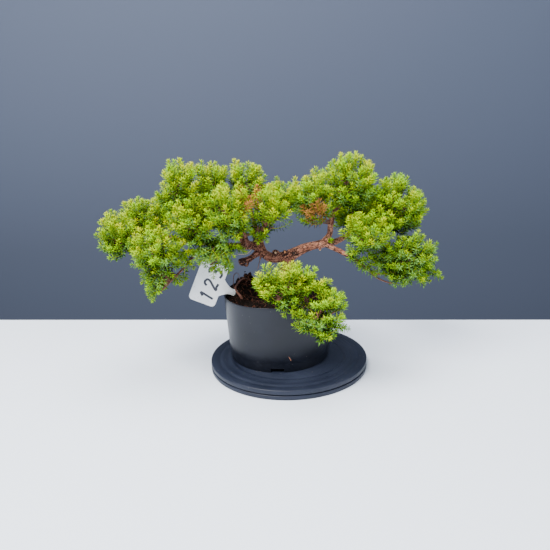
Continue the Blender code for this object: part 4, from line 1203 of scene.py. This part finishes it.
OPENING_STRETCH = 0.35
EXTRA_SPRAYS = metres({  # mass: where a spray starts, and its tip
    "right_low": (
        (85, -12, 156, 84.2, -34, 157.5), (90, -13, 153, 94.5, -36, 150), (100, -14, 145, 106, -36, 141),
        (105, -15, 141, 118, -34, 133), (96, -14, 148, 108, -40, 162), (185, -16, 140, 210, -22, 123),
        (174, -16, 134, 194, -22, 119), (152, -16, 130, 169, -20, 115), (88, -13, 154, 88, -30, 168),
        (94, -14, 150, 100, -34, 157), (102, -15, 143, 114, -38, 151), (108, -15, 139, 126, -36, 138),
    ),
    "right_near": ((84, -12, 157, 91, -38, 173), (92, -20, 164, 101, -46, 177)),
    "front_low": (
        (12, -62, 128, 35.4, -86, 164), (18, -70, 124, 46.9, -90, 150), (22, -78, 120, 58.9, -92, 137),
        (28, -84, 113, 67.3, -94, 126), (34, -92, 104, 31, -104, 90), (40, -94, 98, 56, -104, 79),
        (44, -92, 102, 59, -102, 88), (22, -86, 116, 2, -100, 103),
    ),
    "front_high": (
        (-8, -72, 133, -20, -92, 120), (-4, -76, 130, -15, -97, 112), (2, -80, 126, -8, -101, 104),
        (-10, -74, 132, -35, -88, 159), (0, -78, 128, -14, -100, 123),
    ),
    "right_top_near": (
        (60, 1, 199, 17, -12, 208.5), (60, 1, 201, 23, -18, 211), (60, 1, 203, 32, -22, 214),
        (48, 0, 206, 12, -14, 212), (44, 0, 206, 18, -24, 209),
    ),
    "near_right": ((-30, -28, 204, -23.5, -31, 180), (-36, -27, 203, -36, -36, 180)),
    "left_under": (
        (-76, -30, 166, -77, -37, 141), (-86, -30, 166, -90, -39, 147), (-118, -8, 182.5, -121, -40, 202),
        (-104, -6, 180, -105, -40, 196.5), (-90, -3, 177, -89, -38, 193), (-112, -6, 181, -115, -40, 189),
        (-98, -4, 178.5, -96, -40, 186),
    ),
    "left_hanging": (
        (-168, -30, 140, -185, -31, 111), (-168, -30, 150, -193, -34, 141), (-150, -30, 148, -134.5, -31, 131),
        (-128, -16, 170, -133, -38, 164), (-134, -18, 164, -123, -36, 157), (-146, -9, 187, -142, -42, 196),
        (-124, -14, 174, -143, -40, 170), (-128, -16, 170, -125, -44, 178),
    ),
})
BUD_FOOT, BUD_TIP = Vector((0.058, -0.002, 0.1735)), Vector((0.0607, -0.006, 0.1790))
rng = random.Random(23)
UP = Vector((0, 0, 1))
print("balls of the openings:", sum(map(len, OPENINGS.values())), "extra sprays:", sum(map(len, EXTRA_SPRAYS.values())))

# %% [markdown]
# A shoot's path is cheap to make, so each one is made first and then tested. `Tips` keeps the tips in boxes, so a
# new tip is compared only with those in the boxes round its own.

# %% Paths and room for a tip

class Tips:
    """The tips so far, in boxes, to tell quickly whether a new one has room."""

    def __init__(self):
        self.boxes = {}

    def boxed(self, place):
        """A place with its height squeezed, and the box it is in."""
        place = Vector((place.x, place.y, place.z * STACKED))
        return place, tuple(math.floor(value / TIP_ROOM) for value in place)

    def has_room(self, place):
        place, box = self.boxed(place)
        near = (tuple(a + b for a, b in zip(box, step)) for step in product((-1, 0, 1), repeat=3))
        return not any((other - place).length < TIP_ROOM for box in near for other in self.boxes.get(box, ()))

    def add(self, place):
        place, box = self.boxed(place)
        self.boxes.setdefault(box, []).append(place)


def bent_path(start, heading, end_heading, length):
    """A path that sets out one way and soon turns towards another."""
    path = [start]
    for step in range(SHOOT_STEPS):
        turned_by = ((step + 0.5) / SHOOT_STEPS) ** 0.55
        path.append(path[-1] + heading.lerp(end_heading, turned_by).normalized() * length / SHOOT_STEPS)
    return path


def across(heading, angle):
    """A direction square to a heading, turned round it by an angle."""
    side = heading.cross(UP)
    if side.length < 0.1:
        side = heading.cross(Vector((0, 1, 0)))
    side.normalize()
    return side * math.cos(angle) + heading.cross(side) * math.sin(angle)


def near_in_view(place, ball):
    """Whether a place is inside a ball that is stretched along the line of sight."""
    middle = Vector(ball[:3])
    sight = (middle - CAMERA_PLACE).normalized()
    away = place - middle
    away -= sight * away.dot(sight) * (1 - OPENING_STRETCH)
    return away.length < ball[3]


def in_opening(place):
    return any(near_in_view(place, ball) for balls in OPENINGS.values() for ball in balls)


def clear_tip(foot, tip):
    """The tip, or the first place back from it that isn't in an opening."""
    for share in (1, 0.9, 0.8, 0.7, 0.6):
        if not in_opening(foot.lerp(tip, share)):
            return foot.lerp(tip, share)
    return None


def fits(path, name, limit=TIP_LIMIT):
    end = path[-1]
    if share_out(end, name) > limit or not tips.has_room(end) or in_opening(end) or in_opening(path[3]):
        return False
    return all(clear_of_pot_and_label(place, SHOOT_WIDTH) for place in (path[3], path[5], end))


print("room for a tip:", TIP_ROOM * 1000, "mm beside it,", round(TIP_ROOM / STACKED * 1000, 1), "mm above it")

# %% [markdown]
# A spray's shoots turn up as they grow, more in an upright mass than in a hanging one. Side shoots stand on both
# sides by turns, like the fingers of a fan.

# %% Shoots of a spray and of a stem
def lift_of(name):
    """How strongly the shoots of a mass turn up."""
    rise = MASSES[name][4]
    return UP * (0.5 + rise) if rise > 0 else UP * 0.5 * rise


def add_spray(name, start, foot, tip, side_count, limit=TIP_LIMIT):
    """A twig and the shoots of its spray. A shoot is (path, share of it that is bare)."""
    twigs[name].append((start, foot, tip))
    axis, length, lift = (tip - foot).normalized(), (tip - foot).length, lift_of(name)
    tip = tip - axis * LAST_NEEDLES
    leading = bent_path(foot, (axis - lift * 0.4).normalized(), (axis + lift).normalized(), length)
    leading = [place + (tip - leading[-1]) * step / SHOOT_STEPS for step, place in enumerate(leading)]
    shoots[name].append((leading, LEADING_BARE))
    for number in range(side_count):
        share = SIDE_SHARES[0] + (SIDE_SHARES[1] - SIDE_SHARES[0]) * (number + rng.uniform(0, 0.8)) / side_count
        along = min(share, 0.999) * SHOOT_STEPS
        index = int(along)
        place = leading[index].lerp(leading[index + 1], along - index)
        heading = (leading[index + 1] - leading[index]).normalized()
        out = across(heading, number * math.pi + rng.uniform(-FAN_SPREAD, FAN_SPREAD))
        wide = SIDE_ANGLE * rng.uniform(0.8, 1.2)
        set_out = heading * math.cos(wide) + out * math.sin(wide)
        aim = (heading * 0.45 + out * 0.35 + lift * rng.uniform(0.9, 1.3)).normalized()
        for shorter in (1, 0.72):
            side_length = max(SHORTEST_SHOOT, shorter * length * (1.08 - share) * rng.uniform(0.72, 0.95))
            path = bent_path(place, set_out, aim, side_length)
            if fits(path, name, limit):
                tips.add(path[-1])
                shoots[name].append((path, SIDE_BARE))
                break


def add_stem_shoots(name):
    """Shoots that leave the stem itself, all along."""
    stem, lift = stem_route(name), lift_of(name)
    number = reached = 0
    for start, end in zip(stem[1:], stem[2:]):
        heading = (end - start).normalized()
        while reached < (end - start).length:
            out = across(heading, number * GOLDEN_ANGLE)
            aim = (heading * 0.3 + out * 0.7 + lift * max(0.2, out.z + 0.6)).normalized()
            place = start + heading * reached
            path = bent_path(place, (heading + out).normalized(), aim, rng.uniform(*STEM_SHOOT_LENGTH))
            number += 1
            reached += STEM_SHOOT_STEP
            if fits(path, name, STEM_LIMIT) and all(share_out(path[-1], other) > 0.2 for other in MASSES):
                tips.add(path[-1])
                shoots[name].append((path, STEM_BARE))
        reached -= (end - start).length

# %% [markdown]
# The first sprays get their shoots first, then the listed sprays, the finer ones and the stems, so each takes
# the room that is left.

# %% Grow all shoots
tips = Tips()
for found in sprays.values():
    for _, _, tip in found:
        tips.add(tip)
shoots, twigs = {name: [] for name in MASSES}, {name: [] for name in MASSES}
for name, found in sprays.items():
    for start, foot, tip in found:
        tip = clear_tip(foot, tip)
        if tip:
            add_spray(name, start, foot, tip, rng.randint(*SIDE_SHOOTS))
for short, rows in EXTRA_SPRAYS.items():
    for row in rows:
        start, tip = Vector(row[:3]), Vector(row[3:])
        tips.add(tip)
        add_spray(f"{short}_mass", start, start.lerp(tip, 0.25), tip, 6, EXTRA_LIMIT)
for name, found in fine_sprays.items():
    for start, foot, tip in found:
        if tips.has_room(tip) and not in_opening(tip):
            tips.add(tip)
            add_spray(name, start, foot, tip, rng.randint(*SIDE_SHOOTS))
for name in MASSES:
    add_stem_shoots(name)
shoots["right_low_mass"].append(([BUD_FOOT.lerp(BUD_TIP, step / SHOOT_STEPS) for step in range(SHOOT_STEPS + 1)], 0))
print("shoots:", sum(len(found) for found in shoots.values()))

# %% [markdown]
# Needles stand in whorls of three, each whorl turned against the last. Low on a shoot they stand off widely and
# are long. At its tip they are shorter and closer, so a living tip is a small bright knob. One needle is a slim
# closed form of six triangles: a point at each end and three corners round its belly. Its colour depends on the
# shoot and on how far the needle is from the tip: yellow-green at the tip, then lime, leaf green, and deep green
# inside. The left of the crown is warmer and the right fresher. Light and shade are also painted in: shoots on top
# take brighter, warmer colours as painted light. Low, hanging and underneath shoots take bluer, darker ones, and
# shoots deep in a mass take dark ones, as painted shade. Needles on a shoot's lower side are painted darker as
# shade. A few inner ones are dead and rust-brown.

# %% Needle colours
NEEDLE_COLOURS = {
    "gold": (0.50, 0.56, 0.0), "yellow_green": (0.41, 0.57, 0.0), "fresh": (0.285, 0.54, 0.002),
    "lime": (0.265, 0.43, 0.004), "leaf": (0.128, 0.258, 0.012), "deep": (0.026, 0.060, 0.007),
    "blue_green": (0.105, 0.225, 0.045), "pale_blue": (0.180, 0.370, 0.065), "rust": (0.36, 0.17, 0.042),
}
COLOUR_NAMES = list(NEEDLE_COLOURS)
ZONES = (0.0042, 0.0095, 0.0165)  # distances from the tip at which a shoot's colour changes
SHOOT_KINDS = {  # colours from the tip inwards
    "warm": "gold yellow_green lime leaf", "sunny": "yellow_green lime leaf leaf",
    "young": "fresh fresh leaf deep", "plain": "lime leaf leaf deep",
    "blue": "leaf pale_blue blue_green deep", "inner": "leaf deep deep deep", "dead": "rust rust rust rust",
}
# Painted light and shade: shoots on top get the bright, warm kinds, and shoots underneath get the bluer, darker kinds.
KIND_CHANCES = {  # where a shoot is: on top, at the side or underneath
    "top": (("warm", 0.34), ("sunny", 0.34), ("young", 0.14), ("plain", 0.18)),
    "side": (("warm", 0.16), ("sunny", 0.28), ("young", 0.18), ("plain", 0.28), ("blue", 0.10)),
    "under": (("sunny", 0.08), ("young", 0.12), ("plain", 0.31), ("blue", 0.49)),
}
INNER_SHARE = 0.58  # painted shade: shoots that end nearer the middle of their space are in the shade, and take the dark inner colours
FRESH_SIDE = 0.02  # right of this, warm shoots are mostly young ones
DEAD_PATCHES = metres(((-46, -20, 243, 16), (36, -20, 222, 16), (48, -12, 212, 13)))
DEAD_CHANCE, YOUNG_CHANCE = 0.62, 0.6
# Painted shade: these masses count as lower than they are, so more of their shoots take the bluer, darker underside
# kinds.
BLUE_SHADE_SHIFT = {"right_low_mass": 0.75, "left_hanging_mass": 0.5, "left_under_mass": 1.0, "front_low_mass": 0.2}
needle_materials = [
    plain(f"needle_{name}", colour, 0.6, Specular_IOR_Level=0) for name, colour in NEEDLE_COLOURS.items()
]


def kind_of(path, name):
    end = path[-1]
    for patch in DEAD_PATCHES:
        if near_in_view(end, patch) and rng.random() < DEAD_CHANCE:
            return "dead"
    # Painted shade: a shoot deep in its space takes the dark inner colours.
    if share_out(end, name) < INNER_SHARE:
        return "inner"
    centre, half = MASSES[name][:2]
    # Painted light and shade: the height in the mass picks the lit top kinds, the side kinds or the shaded under kinds.
    height = (end.z - centre[2]) / half[2] - BLUE_SHADE_SHIFT.get(name, 0)
    drawn = rng.random()
    for kind, chance in KIND_CHANCES["top" if height > 0.38 else "side" if height > -0.10 else "under"]:
        drawn -= chance
        if drawn < 0:
            break
    if kind == "warm" and end.x > FRESH_SIDE and rng.random() < YOUNG_CHANCE:
        return "young"
    return kind

# %% [markdown]
# All needles of a shoot are worked out together in arrays, and each group of masses becomes one mesh.

# %% Needles
WHORL_STEP, NEEDLES_IN_WHORL = 0.0026, 3
NEEDLE_LENGTH = (0.0037, 0.0075)  # at the tip and low down
NEEDLE_ANGLE = (math.radians(25), math.radians(57))
SPREAD = {"blue": 1.3, "inner": 1.15}  # shaded shoots hold their needles wider
NEEDLE_WIDTH, NEEDLE_THICK, NEEDLE_BELLY = 0.0016, 0.0007, 0.38
NEEDLE_FACES = np.array([[0, 2, 1], [0, 3, 2], [0, 1, 3], [4, 1, 2], [4, 2, 3], [4, 3, 1]])
TIP_ZONE = 0.0046
PAINTED_SHADE_DEPTH = 0.007  # painted shade: needles on a shoot's lower side are coloured as if this much further in, so darker
crafty = np.random.default_rng(7)


def needle_rows(path, bare, kind):
    """For each needle of a shoot: root, heading of the shoot, direction out, angle, length and colour."""
    path = np.array(path)
    steps = np.linalg.norm(np.diff(path, axis=0), axis=1)
    reached = np.concatenate([[0], np.cumsum(steps)])
    total = reached[-1]
    whorls = max(5, round(total * (1 - bare) / WHORL_STEP))
    shares = 1 - (1 - (np.arange(whorls) + 0.5) / whorls) ** 1.4
    at = np.repeat(total * (bare + (1 - bare) * shares), NEEDLES_IN_WHORL)
    at = np.clip(at + crafty.normal(0, 0.0002, len(at)), 0, total)
    roots = np.stack([np.interp(at, reached, path[:, axis]) for axis in range(3)], 1)
    headings = unit(np.diff(path, axis=0))
    middles = (reached[:-1] + reached[1:]) / 2
    heading = unit(np.stack([np.interp(at, middles, headings[:, axis]) for axis in range(3)], 1))
    number = np.arange(len(at))
    turn = number * math.tau / NEEDLES_IN_WHORL + (number // NEEDLES_IN_WHORL) * math.pi / NEEDLES_IN_WHORL
    turn = turn + crafty.normal(0, 0.2, len(at)) + crafty.uniform(0, math.tau)
    reference = np.where(np.abs(heading[:, 2:3]) < 0.9, [[0, 0, 1.0]], [[1.0, 0, 0]])
    side = unit(np.cross(heading, reference))
    out = side * np.cos(turn)[:, None] + np.cross(heading, side) * np.sin(turn)[:, None]
    from_tip = total - at
    grown = np.clip(from_tip / TIP_ZONE, 0, 1) ** 0.8
    angle = NEEDLE_ANGLE[0] + (NEEDLE_ANGLE[1] - NEEDLE_ANGLE[0]) * grown
    angle = angle * SPREAD.get(kind, 1) + crafty.normal(0, 0.08, len(at))
    length = (NEEDLE_LENGTH[0] + (NEEDLE_LENGTH[1] - NEEDLE_LENGTH[0]) * grown) * crafty.uniform(0.88, 1.1, len(at))
    # Painted shade: needles that point down are coloured as if further from the tip, so darker.
    depth = from_tip + crafty.normal(0, 0.0032, len(at)) + PAINTED_SHADE_DEPTH * np.clip(-out[:, 2], 0, 1)
    colours = np.array([COLOUR_NAMES.index(colour) for colour in SHOOT_KINDS[kind].split()])
    return roots, heading, out, angle, length, colours[np.searchsorted(ZONES, depth)]


def needle_mesh(name, rows):
    roots, heading, out, angle, length, colours = (np.concatenate(column) for column in zip(*rows))
    angle, length = angle[:, None], length[:, None]
    forward = heading * np.cos(angle) + out * np.sin(angle)
    side = unit(np.cross(forward, heading))
    roots = roots + out * 0.0003
    belly = roots + forward * length * NEEDLE_BELLY
    corners = [roots, belly + side * NEEDLE_WIDTH / 2, belly - side * NEEDLE_WIDTH / 2]
    corners += [belly + np.cross(side, forward) * NEEDLE_THICK, roots + forward * length]
    first = np.arange(len(roots))[:, None, None] * len(corners)
    faces = (first + NEEDLE_FACES).reshape(-1, 3)
    return mesh_of(name, np.stack(corners, 1).reshape(-1, 3), faces, np.repeat(colours, len(NEEDLE_FACES)))


needle_rows_of = {
    name: [needle_rows(path, bare, kind_of(path, name)) for path, bare in found] for name, found in shoots.items()
}
for group, names in GROUPS.items():
    rows = [row for name in names for row in needle_rows_of[name]]
    add_piece(f"needles_{group}", needle_mesh(f"needles_{group}", rows), needle_materials, names)
print("needles:", sum(len(row[0]) for rows in needle_rows_of.values() for row in rows))

# %% [markdown]
# Stems, twigs and the middle line of each shoot are tubes with few sides. Stems and twigs are brown and woody, and
# the shoots' own lines are yellow-green, as young bark is.

# %% Stems and twigs
WOODY, GREEN, BLEACHED = 0, 1, 2  # which of the three materials a tube has
TWIG_RADII, SHOOT_RADII = (0.00115, 0.0007), (0.00065, 0.00035)  # at the foot and at the tip
TWIG_OVERLAP = 0.004  # how far a twig reaches into its spray
twig_materials = [
    mottled("twig_brown", 0.8, 210.0, (0.085, 0.030, 0.017), (0.21, 0.085, 0.043))[0],
    plain("shoot_green", (0.23, 0.29, 0.008), 0.7, Specular_IOR_Level=0),
    plain("dead_twig", (0.40, 0.31, 0.23), 0.8),
]
BARE_TWIGS = {  # mass: material, then radius at both ends and places in millimetres
    "left_under_mass": (
        (WOODY, 0.6, 0.3, (-33, 1, 158), (-35.2, -2, 154.3), (-37.5, -4, 147), (-39.1, -4, 140.2)),
        (BLEACHED, 0.7, 0.3, (-45, 2, 169), (-52, -3, 163), (-60, -5, 162.5), (-66, -6, 163.5)),
    ),
    "right_low_mass": (
        (WOODY, 1.4, 0.7, (110, -16, 137), (119, -18, 128.5), (132, -19, 122), (146, -18, 118)),
    ),
}


def used_stem(name):
    """A mass's stem as far as its last twig, without a bare end."""
    stem = stem_route(name)
    starts = [start for start, _, _ in twigs[name]]
    last = max(min(range(len(stem)), key=lambda at: (stem[at] - start).length) for start in starts)
    return stem[: last + 2]


def twig_parts(name):
    """(corners, faces, material) of one mass's stem, twigs and shoots."""
    for material, *row in BARE_TWIGS.get(name, ()):
        first, last, *places = metres(tuple(row))
        yield *tapered(smooth_route(places, 5), first, last, 6), material
    stem_foot = min(STEM_RADIUS, LIMBS[MASSES[name][2]][1]) * 1.1
    yield *tapered(smooth_route(used_stem(name), 3), stem_foot, STEM_TIP_RADIUS, 8), WOODY
    for start, foot, tip in twigs[name]:
        towards = (tip - foot).normalized()
        reach = (foot - start).length
        bow = interpolate_bezier(start, start.lerp(foot, 0.5), foot - towards * 0.35 * reach, foot, 6)
        yield *tapered([*bow, foot + towards * TWIG_OVERLAP], *TWIG_RADII, 5), WOODY
    for path, _ in shoots[name]:
        yield *tapered(path, *SHOOT_RADII, 3), GREEN


for group, names in GROUPS.items():
    parts = [part for name in names for part in twig_parts(name)]
    which = np.concatenate([np.full(len(part[1]), part[2]) for part in parts])
    mesh = mesh_of(f"twigs_{group}", *joined([part[:2] for part in parts]), which)
    add_piece(f"twigs_{group}", mesh, twig_materials, smooth_under=80)

# %% [markdown]
# One dry needle has fallen and clings to the front of the pot's wall, a little above the foot.

# %% Fallen needle
FALLEN_ENDS = ((-0.0012, 0.0368), (0.0016, 0.0306))  # x and z
FALLEN_RADIUS, FALLEN_TIP_RADIUS = 0.00045, 0.0002


def on_pot_front(x, z):
    """A place just outside the front of the pot's wall."""
    out = wall_radius(z - POT_MIDDLE.z) + FALLEN_RADIUS
    return Vector((x, POT_MIDDLE.y - math.sqrt(out**2 - (x - POT_MIDDLE.x) ** 2), z))


start, end = (on_pot_front(*place) for place in FALLEN_ENDS)
route = [start.lerp(end, share) for share in (0, 0.35, 0.7, 1)]
fallen = tube_arrays(route, [FALLEN_TIP_RADIUS, FALLEN_RADIUS, FALLEN_RADIUS, FALLEN_TIP_RADIUS], 6)
add_many("fallen_needle", [fallen], plain("dry_needle", (0.42, 0.17, 0.085), 0.7), smooth_under=60)

# %% [markdown]
# ## Size against the solids
# The dressed model may stand only a little way out of the box round the solids: 3 % of each side and 10 mm.

# %% Compare the boxes and finish
dressed_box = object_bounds()
for axis, letter in enumerate("XYZ"):
    allowed = 0.03 * (solid_box[1][axis] - solid_box[0][axis]) + 0.010
    below = solid_box[0][axis] - dressed_box[0][axis]
    above = dressed_box[1][axis] - solid_box[1][axis]
    print(f"{letter}: {below * 1000:.1f} mm and {above * 1000:.1f} mm beyond the solids, {allowed * 1000:.1f} allowed")
